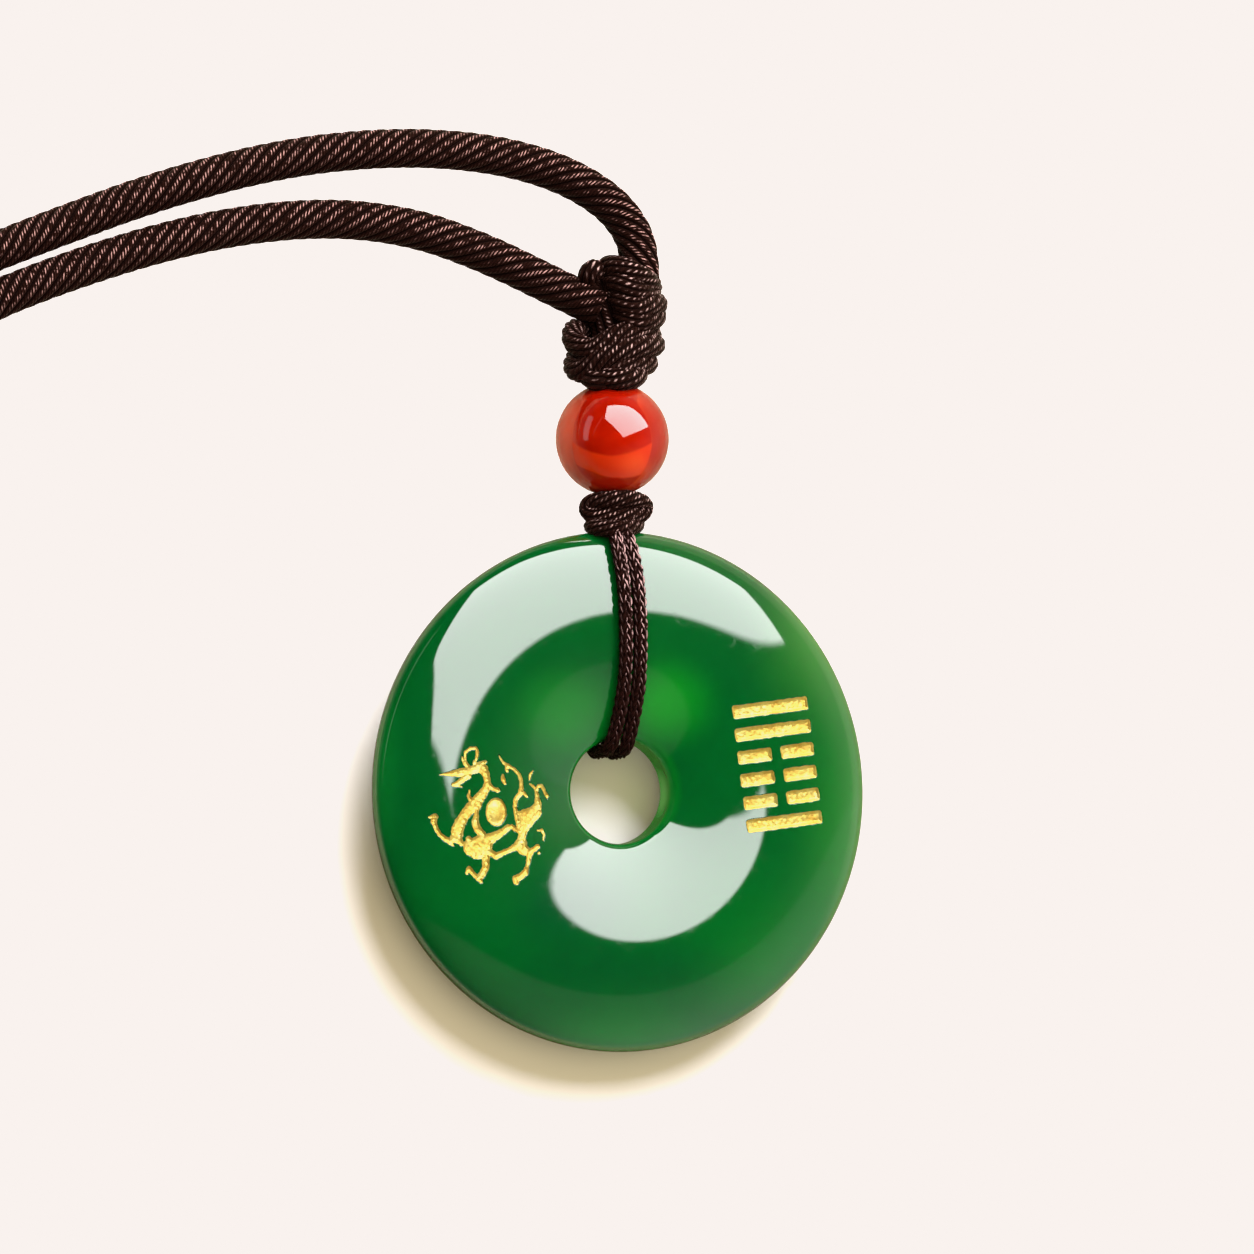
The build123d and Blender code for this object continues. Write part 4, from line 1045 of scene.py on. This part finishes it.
def build_ring():
    na = 400
    step_a = 2 * math.pi / na
    u0, half_power = 0.76, RIM_POWER / 2
    face_r = np.concatenate([
        np.linspace(HOLE_LIP_R, CROWN_R, 20),
        CROWN_R + (RING_R - CROWN_R) * np.linspace(0.04, u0, 16),
        CROWN_R + (RING_R - CROWN_R) * np.sin(np.linspace(math.asin(u0**half_power), math.pi / 2, 26)[1:]) ** (1 / half_power),
    ])
    back_r = np.concatenate([
        CROWN_R + (RING_R - CROWN_R) * np.sin(np.linspace(math.pi / 2, math.asin(u0**half_power), 20)[1:-1]) ** (1 / half_power),
        CROWN_R + (RING_R - CROWN_R) * np.linspace(u0, 0.05, 12),
        np.linspace(CROWN_R, HOLE_LIP_R, 12),
    ])
    # the hole's lips are arcs that meet the wall and both sides smoothly
    lip = HOLE_LIP_R - HOLE_R
    turn_top = math.pi / 2 - math.atan(DISH_POWER * (CROWN_UP - HOLE_FACE) / (CROWN_R - HOLE_LIP_R))
    turn_low = math.pi / 2 - math.atan(2 * (CROWN_DOWN - HOLE_BACK) / (CROWN_R - HOLE_LIP_R))
    low_q, top_q = np.linspace(turn_low, 0, 9)[1:], np.linspace(0, turn_top, 11)[:-1]
    low_arc, top_arc = lip / (1 - math.cos(turn_low)), lip / (1 - math.cos(turn_top))
    wall_z = np.linspace(HOLE_WALL_LOW, HOLE_WALL_TOP, 6)[1:-1]
    prof_r = np.concatenate([face_r, back_r, HOLE_R + low_arc * (1 - np.cos(low_q)), np.full(len(wall_z), HOLE_R), HOLE_R + top_arc * (1 - np.cos(top_q))])
    prof_z = np.concatenate([face_z(face_r), back_z(back_r), HOLE_WALL_LOW - low_arc * np.sin(low_q), wall_z, HOLE_WALL_TOP + top_arc * np.sin(top_q)])
    np_ = len(prof_r)
    # outward normals of the section
    nf = len(face_r)

    def slope_up(r, height):
        e = 1e-4
        return (height(r + e) - height(r - e)) / (2 * e)

    nr, nz = np.zeros(np_), np.zeros(np_)
    sf = slope_up(np.clip(face_r, HOLE_LIP_R, RING_R - 2e-4), face_z)
    nr[:nf], nz[:nf] = -sf, 1
    sb = slope_up(np.clip(back_r, HOLE_LIP_R, RING_R - 2e-4), back_z)
    nr[nf:nf + len(back_r)], nz[nf:nf + len(back_r)] = sb, -1
    nr[nf - 1], nz[nf - 1] = 1, 0
    at = nf + len(back_r)
    lip_q = np.concatenate([-low_q, np.zeros(len(wall_z)), top_q])
    nr[at:], nz[at:] = -np.cos(lip_q), np.sin(lip_q)
    ang = np.arange(na) * step_a
    c, s = np.cos(ang)[:, None], np.sin(ang)[:, None]
    pts = np.stack([c * prof_r, s * prof_r, np.broadcast_to(prof_z, (na, np_))], -1).reshape(-1, 3)
    nor = unit(np.stack([c * nr, s * nr, np.broadcast_to(nz, (na, np_))], -1)).reshape(-1, 3)
    i, j = np.meshgrid(np.arange(na), np.arange(np_), indexing="ij")
    quads = np.stack([i * np_ + j, i * np_ + (j + 1) % np_, ((i + 1) % na) * np_ + (j + 1) % np_, ((i + 1) % na) * np_ + j], -1)
    keep = np.ones((na, np_), bool)
    all_pts, all_nor, tris = [pts], [nor], []
    total = len(pts)
    groups = (
        (("gilt_dragon", "gilt_pearl", "gilt_flame_1", "gilt_flame_2", "gilt_flame_3", "gilt_flame_4"), 157, 233, 8.3, 23.6),
        (tuple(k for k in FIGURES if k.startswith("gilt_bar")), -17, 44, 10.8, 24.6),
    )
    for names, a_low, a_high, r_low, r_high in groups:
        ia, ib = int(round(math.radians(a_low) / step_a)), int(round(math.radians(a_high) / step_a))
        ja = int(np.argmin(np.abs(face_r - r_low)))
        jb = int(np.argmin(np.abs(face_r - r_high)))
        for k in range(ia, ib):
            keep[k % na, ja:jb] = False
        edge = [(k, ja) for k in range(ia, ib)] + [(ib, k) for k in range(ja, jb)] + [(k, jb) for k in range(ib, ia, -1)] + [(ia, k) for k in range(jb, ja, -1)]
        grid_no = [(k % na) * np_ + m for k, m in edge]
        rim = pts[grid_no][:, :2]
        loops, kinds = [rim], ["rim"]
        for name in names:
            field, box = FIGURES[name]
            fine_step = 0.085 if "bar" in name else 0.075
            outer, inner = level_loops(field, box, (LIP, 0.0), fine_step)
            for kind, group in (("lip", outer), ("cut", inner)):
                for loop in group:
                    if enclosed(loop) > 0.012:
                        loops.append(loop)
                        kinds.append(kind)
        gi, gj = np.meshgrid(np.arange(ia + 1, ib), np.arange(ja + 1, jb), indexing="ij")
        loose = pts[((gi % na) * np_ + gj).ravel()][:, :2]

        def distance(x, y):
            d = np.full(x.shape, 9.0)
            for name in names:
                field, b = FIGURES[name]
                near = (x > b[0] - 0.6) & (x < b[1] + 0.6) & (y > b[2] - 0.6) & (y < b[3] + 0.6)
                if near.any():
                    d[near] = np.minimum(d[near], field(x[near], y[near]))
            return d

        loose = loose[distance(loose[:, 0], loose[:, 1]) > 0.16]
        co, faces, spans = triangulated(loops, loose)
        mid = co[faces].mean(1)
        faces = faces[np.hypot(mid[:, 0], mid[:, 1]) > face_r[ja]]
        mid = co[faces].mean(1)
        sunk = distance(mid[:, 0], mid[:, 1]) < 0
        d = distance(co[:, 0], co[:, 1])
        on_cut = np.zeros(len(co), bool)
        on_lip = np.zeros(len(co), bool)
        for kind, span in zip(kinds, spans):
            if kind == "cut":
                on_cut[span] = True
            if kind == "lip":
                on_lip[span] = True
        r = np.hypot(co[:, 0], co[:, 1])
        base = face_z(r)
        e = 1e-3
        gx = (face_z(np.hypot(co[:, 0] + e, co[:, 1])) - face_z(np.hypot(co[:, 0] - e, co[:, 1]))) / (2 * e)
        gy = (face_z(np.hypot(co[:, 0], co[:, 1] + e)) - face_z(np.hypot(co[:, 0], co[:, 1] - e))) / (2 * e)
        dx = (distance(co[:, 0] + e, co[:, 1]) - distance(co[:, 0] - e, co[:, 1])) / (2 * e)
        dy = (distance(co[:, 0], co[:, 1] + e) - distance(co[:, 0], co[:, 1] - e)) / (2 * e)
        top_z = base - np.where(on_cut, LIP_DROP, 0)
        fall = np.where(on_cut, 1.3, 0)
        top_n = unit(np.stack([-gx - fall * dx, -gy - fall * dy, np.ones(len(co))], -1))
        low_n = unit(np.stack([-gx, -gy, np.ones(len(co))], -1))
        top = np.column_stack([co, top_z])
        low = np.column_stack([co, base - CUT_DEPTH])
        # map to the whole mesh: the rim's points are the grid's own
        no_top = np.arange(len(co)) + total
        for g, k in zip(grid_no, spans[0]):
            no_top[k] = g
        all_pts.append(top)
        all_nor.append(top_n)
        total += len(co)
        no_low = np.arange(len(co)) + total
        all_pts.append(low)
        all_nor.append(low_n)
        total += len(co)
        tris.append(np.where(sunk[:, None], no_low[faces], no_top[faces]))
        # walls, along every edge between a top face and a sunk one
        side = {}
        for f, low_side in zip(faces, sunk):
            for a, b in ((f[0], f[1]), (f[1], f[2]), (f[2], f[0])):
                side[(a, b)] = low_side
        walls = [(a, b) for (a, b), low_side in side.items() if not low_side and side.get((b, a), False)]
        wall_top = np.array([no_top[[a, b]] for a, b in walls])
        wall_low = np.array([no_low[[a, b]] for a, b in walls])
        ends = sorted({a for w in walls for a in w})
        index = {a: k for k, a in enumerate(ends)}
        wn_ = unit(np.stack([dx[ends], dy[ends], np.zeros(len(ends))], -1))
        all_pts += [top[ends], low[ends]]
        all_nor += [-wn_, -wn_]
        wt, wl_ = total, total + len(ends)
        total += 2 * len(ends)
        for a, b in walls:
            ka, kb = index[a], index[b]
            tris.append(np.array([(wt + kb, wt + ka, wl_ + ka), (wt + kb, wl_ + ka, wl_ + kb)]))
    points, normals = np.concatenate(all_pts), np.concatenate(all_nor)
    tris = np.concatenate(tris)
    quads = quads[keep]
    # drop points that no face uses
    used = np.zeros(len(points), bool)
    used[quads.ravel()] = True
    used[tris.ravel()] = True
    new = np.cumsum(used) - 1
    points, normals, quads, tris = points[used], normals[used], new[quads], new[tris]
    return mesh_object("ring_cut", on_ring(points), quads, tris, tilted(normals))


ring = finish(build_ring(), GREEN, "green_agate", "agate_ring")

# light that comes through the stone into its hole
through = bpy.data.objects.new("light_through_hole", bpy.data.lights.new("light_through_hole", "POINT"))
through.data.energy = 0.0013
through.data.color = (0.85, 1.0, 0.80)
through.data.shadow_soft_size = 0.002
through.location = Vector((-1.0, RING_Y - 0.5, 2.8)) * MM
through.visible_glossy = False
scene.collection.objects.link(through)
through.light_linking.receiver_collection = only_ring
only_ring.objects.link(ring)


def build_gilding(name):
    """A sheet of gilding that lies in its figure, dished, with a worked surface."""
    field, box = FIGURES[name]
    bar = "bar" in name or "pearl" in name
    levels = (-0.028, -0.09, -0.17, -0.27, -0.40) if bar else (-0.028, -0.075, -0.14, -0.22, -0.32)
    rows = level_loops(field, box, levels, 0.085 if bar else 0.07)
    loops, depth = [], []
    for level, group in zip(levels, rows):
        for loop in group:
            if enclosed(loop) > (0.012 if level == levels[0] else 0.004):
                loops.append(loop)
                depth.append(level)
    x0, x1, y0, y1 = box
    gx, gy = np.meshgrid(np.arange(x0, x1, 0.15), np.arange(y0, y1, 0.15), indexing="ij")
    gx, gy = gx.ravel(), gy.ravel()
    d = field(gx, gy)
    inside = d < levels[-1] - 0.05
    co, faces, spans = triangulated(loops, np.column_stack([gx[inside], gy[inside]]))
    mid = co[faces].mean(1)
    faces = faces[field(mid[:, 0], mid[:, 1]) < levels[0]]
    d = field(co[:, 0], co[:, 1])
    for level, span in zip(depth, spans):
        d[span] = level
    r = np.hypot(co[:, 0], co[:, 1])
    reach = 0.30 if bar else 0.24
    dish = smooth_step((-d + levels[0]) / reach)
    depth_top = 0.05 + (0.17 if bar else 0.15) * dish
    depth_top = depth_top + (0.022 * ripple(co[:, 0], co[:, 1], 0.45, 3) + 0.012 * ripple(co[:, 0], co[:, 1], 0.2, 4)) * dish
    if "pearl" in name:
        depth_top = 0.05 + 0.14 * smooth_step((-d + levels[0]) / 0.16) - 0.10 * smooth_step((-d - 0.2) / 0.8) + 0.010 * ripple(co[:, 0], co[:, 1], 0.3, 3)
    top = np.column_stack([co, face_z(r) - depth_top])
    low = np.column_stack([co, face_z(r) - 0.43])
    n = len(co)
    side = {}
    for f in faces:
        for a, b in ((f[0], f[1]), (f[1], f[2]), (f[2], f[0])):
            side[(a, b)] = True
    walls = np.array([(a, b) for (a, b) in side if (b, a) not in side])
    strip = np.stack([walls[:, 1], walls[:, 0], walls[:, 0] + n, walls[:, 1] + n], -1)
    tris = np.concatenate([faces, faces[:, ::-1] + n])
    used = np.zeros(2 * n, bool)
    used[tris.ravel()] = True
    new = np.cumsum(used) - 1
    points = np.concatenate([top, low])[used]
    ob = mesh_object(name + "_leaf", on_ring(points), new[strip], new[tris])
    ob.data.polygons.foreach_set("use_smooth", np.ones(len(ob.data.polygons), bool))
    ob.data.set_sharp_from_angle(angle=math.radians(60))
    return finish(ob, GOLD, "gilding", name)


for figure in FIGURES:
    build_gilding(figure)


# ---------------------------------------------------------------- bead
def build_bead():
    na = 144
    start = math.asin((BEAD_BORE_R + 0.25) / BEAD_R)
    a = np.linspace(start, math.pi - start, 84)
    along, out = -BEAD_R * np.cos(a), BEAD_R * np.sin(a)
    n_a, n_o = -np.cos(a), np.sin(a)
    end = along[-1]
    q = np.linspace(0, 1, 5)[1:]
    # rounded mouths of the bore, then its wall
    prof = [(x, o, p, r) for x, o, p, r in zip(along, out, n_a, n_o)]
    for t in q:
        g = t * math.pi / 2
        prof.append((end - 0.25 * (1 - math.cos(g)), BEAD_BORE_R + 0.25 * (1 - math.sin(g)), math.cos(g), -math.sin(g) * 0.6 + 0.3 * (1 - t)))
    for t in np.linspace(end - 0.5, -end + 0.5, 8):
        prof.append((t, BEAD_BORE_R, 0, -1))
    for t in q[::-1]:
        g = t * math.pi / 2
        prof.append((-end + 0.25 * (1 - math.cos(g)), BEAD_BORE_R + 0.25 * (1 - math.sin(g)), -math.cos(g), -math.sin(g) * 0.6 + 0.3 * (1 - t)))
    prof = np.array(prof)
    m = len(prof)
    th = np.arange(na) * 2 * math.pi / na
    c, s = np.cos(th)[:, None], np.sin(th)[:, None]
    pts = np.stack([c * prof[:, 1], np.broadcast_to(prof[:, 0], (na, m)), s * prof[:, 1]], -1).reshape(-1, 3)
    nor = unit(np.stack([c * prof[:, 3], np.broadcast_to(prof[:, 2], (na, m)), s * prof[:, 3]], -1)).reshape(-1, 3)
    i, j = np.meshgrid(np.arange(na), np.arange(m), indexing="ij")
    quads = np.stack([i * m + j, i * m + (j + 1) % m, ((i + 1) % na) * m + (j + 1) % m, ((i + 1) % na) * m + j], -1).reshape(-1, 4)
    centre = np.array(BEAD) + np.array([0, RING_Y, 0])
    return mesh_object("bead_round", pts + centre, quads, normals=nor)


bead = finish(build_bead(), RED, "red_agate", "agate_bead")
neither.objects.link(bead)
neither.collection_objects[1].light_linking.link_state = "EXCLUDE"
only_bead.objects.link(bead)
core = np.array([(BEAD[0], BEAD[1] + RING_Y + y, BEAD[2]) for y in np.linspace(-6.6, 8.2, 40)])
finish(mesh_object("bead_cord_laid", *laid_tube(core, 1.4, 9, 32.0, np.linspace(0, line_length(core), 60))[:3],
                   uv=laid_tube(core, 1.4, 9, 32.0, np.linspace(0, line_length(core), 60))[3]), KNOT_YARN, "brown_cord", "bead_cord")


# ---------------------------------------------------------------- hanging cords
THIN_LINE = [  # x, y, z of the pair's own middle line, and each cord's distance from it
    (-1.2, 29.3, 6.1, 0.6),
    (-1.2, 28.3, 7.3, 0.62),
    (-1.18, 27.3, 8.4, 0.65),
    (-1.1, 26.1, 9.2, 0.70),
    (-0.75, 23.8, 9.72, 0.79),
    (-0.35, 20.6, 9.95, 0.81),
    (-0.12, 16.5, 9.77, 0.81),
    (0.0, 12.5, 9.25, 0.82),
    (-0.15, 9.0, 8.42, 0.82),
    (-0.45, 6.3, 7.52, 0.84),
    (-0.7, 4.9, 6.95, 0.88),
    (-0.75, 4.2, 5.9, 0.94),
    (-0.75, 4.2, 4.2, 0.98),
    (-0.75, 4.2, 2.6, 0.98),
    (-0.8, 4.7, 1.35, 0.95),
    (-0.8, 6.6, 1.2, 0.9),
    (-0.82, 12.0, 1.22, 0.86),
    (-0.9, 18.5, 1.5, 0.84),
    (-0.95, 23.4, 2.15, 0.83),
    (-1.0, 27.0, 3.45, 0.82),
    (-1.1, 29.3, 4.3, 0.81),
]


def lozenge(n_long=9, n_round=8):
    """A float of yarn: long, rounded, its ends dipping. Along x, up z, unit half sizes."""
    t = np.linspace(-1, 1, n_long)
    swell = np.sqrt(np.maximum(0, 1 - np.abs(t) ** 2.6))
    a = np.arange(n_round) * 2 * math.pi / n_round
    pts, quads, uv = [], [], []
    for k in range(n_long):
        for g in a:
            pts.append((t[k], math.cos(g) * max(swell[k], 0.03), math.sin(g) * max(swell[k], 0.03)))
    for k in range(n_long - 1):
        for g in range(n_round):
            quads.append((k * n_round + g, k * n_round + (g + 1) % n_round, (k + 1) * n_round + (g + 1) % n_round, (k + 1) * n_round + g))
            uv += [(k, g), (k, g + 1), (k + 1, g + 1), (k + 1, g)]
    uv = np.array(uv, float) * (0.22, 1.0 / n_round) + (0.0, 0.25)
    caps = []
    for row, order in ((0, -1), (n_long - 1, 1)):
        ring = [row * n_round + g for g in range(n_round)][::order]
        for g in range(1, n_round - 1):
            caps.append((ring[0], ring[g], ring[g + 1]))
    return np.array(pts), np.array(quads), np.array(caps), uv, np.zeros((len(caps) * 3, 2))


def braided_tube(line, radius, pitch, half_long, half_wide, lean, sides=4, first=None, thick=0.30):
    """A braided cord: on its core, columns of slanted floats in pairs, like a row of arrowheads."""
    total = line_length(line)
    fine = resampled(line, np.linspace(0, total, int(total / 0.1) + 2))
    tangent, e1, e2 = side_frames(fine, False, first)
    base_p, base_q, base_c, base_uv, cap_uv = lozenge()
    inner = radius - thick * 0.85
    parts = [laid_tube(fine, inner + 0.02, 8, 0.0, np.linspace(0, total, int(total / 0.5) + 2), per_yarn=2)]
    rng = np.random.default_rng(21)
    n_long = 0
    count = int((total - 0.2) / pitch)
    for side in range(sides):
        for leg in (-1, 1):
            angle0 = 2 * math.pi * (side + 0.25 * leg + 0.5) / sides
            for k in range(count):
                s = 0.25 + (k + (0.5 if leg > 0 else 0.0)) * pitch + rng.normal() * 0.03
                tilt = math.radians(lean * leg + rng.normal() * 2.0)
                long = half_long * (1 + 0.06 * rng.normal())
                wide = half_wide * (1 + 0.06 * rng.normal())
                p = base_p * (long, wide, thick * (1 + 0.08 * rng.normal()))
                x = p[:, 0] * math.cos(tilt) - p[:, 1] * math.sin(tilt)
                y = p[:, 0] * math.sin(tilt) + p[:, 1] * math.cos(tilt)
                dip = 0.55 * thick * (p[:, 0] / long) ** 2
                place_s = np.clip(s + x, 0, total)
                f = place_s / total * (len(fine) - 1)
                a = np.floor(f).astype(int).clip(0, len(fine) - 2)
                w = (f - a)[:, None]
                c = fine[a] * (1 - w) + fine[a + 1] * w
                u, v = unit(e1[a] * (1 - w) + e1[a + 1] * w), unit(e2[a] * (1 - w) + e2[a + 1] * w)
                th = angle0 + y / radius
                rad = radius - thick + p[:, 2] - dip
                q = c + (np.cos(th) * rad)[:, None] * u + (np.sin(th) * rad)[:, None] * v
                parts.append((q, base_q, base_c, np.concatenate([base_uv + (s, 0), cap_uv])))
    return joined(parts)


for side_name, side in (("left", -1), ("right", 1)):
    route = [(x + side * step, y, z) for x, y, z, step in THIN_LINE]
    line = spline_line(world_y(route), 24)
    p, q, t, u = braided_tube(line, THIN_R, 1.15, 0.97, 0.20, 23.0, first=(math.sin(0.4), 0, math.cos(0.4)), thick=0.24)
    p[:, 2] = np.maximum(p[:, 2], 0.01)
    finish(mesh_object(f"hanging_cord_{side_name}_braid", p, q, t, uv=u), THIN_YARN, "brown_cord", f"hanging_cord_{side_name}")
    print("hanging cord", side_name, round(line_length(line), 2), "mm", len(q) * 2 + len(t), "triangles")


# ---------------------------------------------------------------- knots
def knot_strand(rows, radius, yarns, angle=-34.0, closed=True, every=0.28):
    line = spline_line(world_y(rows), 20, closed)
    if closed:
        line = np.vstack([line, line[:1]])
    total = line_length(line)
    n = max(24, int(total / every))
    if closed:
        return laid_tube(resampled(line, np.linspace(0, total, n + 1)[:-1]), radius, yarns, angle, closed=True)
    return laid_tube(line, radius, yarns, angle, np.linspace(0, total, n))


UPPER_WRAPS = [  # cord radius, whether it closes behind, then its x, y, z
    (1.20, False, [(-1.4, 54.6, 4.4), (-2.8, 55.3, 6.2), (-4.0, 55.0, 6.9), (-3.8, 54.1, 5.8), (-2.6, 53.4, 3.8)]),
    (1.22, True, [(-1.7, 55.7, 5.8), (-1.5, 55.5, 8.0), (-0.1, 54.9, 8.8), (2.0, 54.2, 7.9), (3.6, 53.6, 5.6), (3.7, 53.8, 3.1), (1.8, 54.3, 2.2), (-0.6, 55.3, 3.2)]),
    (1.25, True, [(-1.4, 54.3, 6.2), (-1.2, 53.8, 8.3), (-0.1, 53.0, 8.9), (1.9, 52.6, 7.9), (3.7, 52.4, 5.6), (3.7, 52.5, 3.1), (1.8, 53.0, 2.2), (-0.4, 54.2, 3.2)]),
    (1.22, True, [(-0.8, 52.5, 6.6), (-0.8, 51.5, 8.5), (0.3, 51.0, 9.0), (2.2, 51.4, 8.2), (4.1, 52.0, 5.8), (4.5, 52.2, 3.2), (2.5, 52.3, 2.2), (0.3, 52.5, 3.2)]),
    (1.20, True, [(-0.5, 51.1, 6.6), (-0.3, 50.0, 8.3), (1.0, 49.5, 8.6), (2.9, 50.0, 7.2), (4.3, 50.9, 4.8), (4.2, 51.2, 3.0), (2.2, 51.5, 2.2), (0.4, 51.9, 3.4)]),
    (1.25, True, [(-5.1, 49.0, 4.8), (-5.7, 47.5, 6.2), (-5.1, 46.7, 7.4), (-4.0, 46.4, 8.2), (-2.7, 47.2, 8.7), (-1.3, 48.2, 8.7), (0.5, 48.5, 8.1), (2.6, 48.5, 6.7), (3.8, 48.8, 4.6), (3.2, 49.1, 2.6), (0.1, 49.0, 2.0), (-3.4, 49.2, 2.8)]),
    (1.30, True, [(-5.0, 45.6, 5.0), (-5.5, 44.4, 6.4), (-4.8, 44.2, 7.6), (-3.8, 45.1, 8.5), (-2.4, 46.0, 9.0), (-0.6, 46.6, 9.0), (1.4, 47.0, 8.2), (3.4, 47.5, 6.4), (4.1, 47.8, 4.2), (3.0, 47.8, 2.6), (-0.2, 47.3, 2.0), (-3.4, 46.6, 2.8)]),
    (1.20, True, [(-3.3, 44.0, 7.4), (-2.3, 44.5, 8.6), (-1.0, 44.8, 8.8), (0.7, 45.0, 8.1), (2.5, 45.4, 6.5), (3.4, 45.8, 4.6), (2.7, 45.6, 2.8), (-0.2, 45.1, 2.2), (-2.1, 44.4, 3.6), (-3.3, 44.0, 5.6)]),
    (1.25, True, [(-3.7, 44.7, 6.2), (-4.4, 43.6, 7.8), (-3.8, 43.1, 8.7), (-2.6, 43.4, 8.4), (-1.4, 44.2, 6.4), (-1.9, 44.9, 4.6)]),
    (1.25, True, [(-3.0, 43.6, 8.2), (-2.4, 43.2, 9.3), (-1.2, 43.2, 9.6), (0.1, 43.5, 8.9), (1.4, 44.4, 7.0), (1.5, 45.0, 4.8), (-0.1, 45.0, 4.2), (-2.0, 44.6, 5.6)]),
]
core = np.array([(-0.7, y + RING_Y, 5.1) for y in np.linspace(43.9, 55.0, 12)])
strands = [laid_tube(core, 2.45, 12, -20.0, np.linspace(0, line_length(core), 26))]
strands += [knot_strand(rows, radius, 9, -24.0, closed) for radius, closed, rows in UPPER_WRAPS]
p, q, t, u = joined(strands)
finish(mesh_object("upper_knot_tied", p, q, t, uv=u), KNOT_YARN, "brown_cord", "upper_knot")

LOWER_WRAPS = [  # cord radius, whether it closes, then its x, y, z
    (0.95, True, [(-3.7, 30.5, 6.9), (-2.7, 30.5, 7.8), (-1.3, 30.7, 8.2), (0.4, 30.8, 7.8), (2.0, 30.6, 6.9), (2.5, 30.0, 6.3), (1.8, 29.2, 6.8), (0.2, 29.0, 7.5), (-1.3, 28.8, 7.7), (-2.8, 28.8, 7.3), (-3.8, 29.0, 6.7), (-4.2, 29.8, 6.3)]),
    (0.80, False, [(-3.1, 30.1, 5.6), (-2.2, 29.8, 7.4), (-0.7, 29.7, 7.8), (1.8, 29.8, 5.8)]),
    (0.92, True, [(-3.8, 27.8, 6.6), (-3.2, 27.5, 8.1), (-1.9, 27.4, 8.8), (-0.1, 27.6, 8.3), (1.4, 28.2, 6.6), (2.1, 28.6, 4.2), (0.3, 28.6, 3.0), (-2.4, 28.3, 4.0)]),
    (1.10, True, [(-3.3, 30.2, 5.0), (-2.1, 30.5, 3.3), (0.5, 30.8, 2.7), (2.5, 30.7, 3.3), (2.6, 30.3, 5.0), (1.5, 30.1, 6.0), (-0.8, 29.8, 6.2), (-3.1, 29.9, 6.0)]),
]
low_core = np.array([(-0.55, y + RING_Y, 5.0) for y in np.linspace(28.0, 31.0, 8)])
strands = [laid_tube(low_core, 2.0, 10, -20.0, np.linspace(0, line_length(low_core), 10))]
strands += [knot_strand(rows, radius, 8, -28.0, closed, 0.22) for radius, closed, rows in LOWER_WRAPS]
p, q, t, u = joined(strands)
p[:, 2] = np.maximum(p[:, 2], 0.01)
finish(mesh_object("lower_knot_tied", p, q, t, uv=u), KNOT_YARN, "brown_cord", "lower_knot")
print("lower knot", len(q) * 2 + len(t), "triangles")
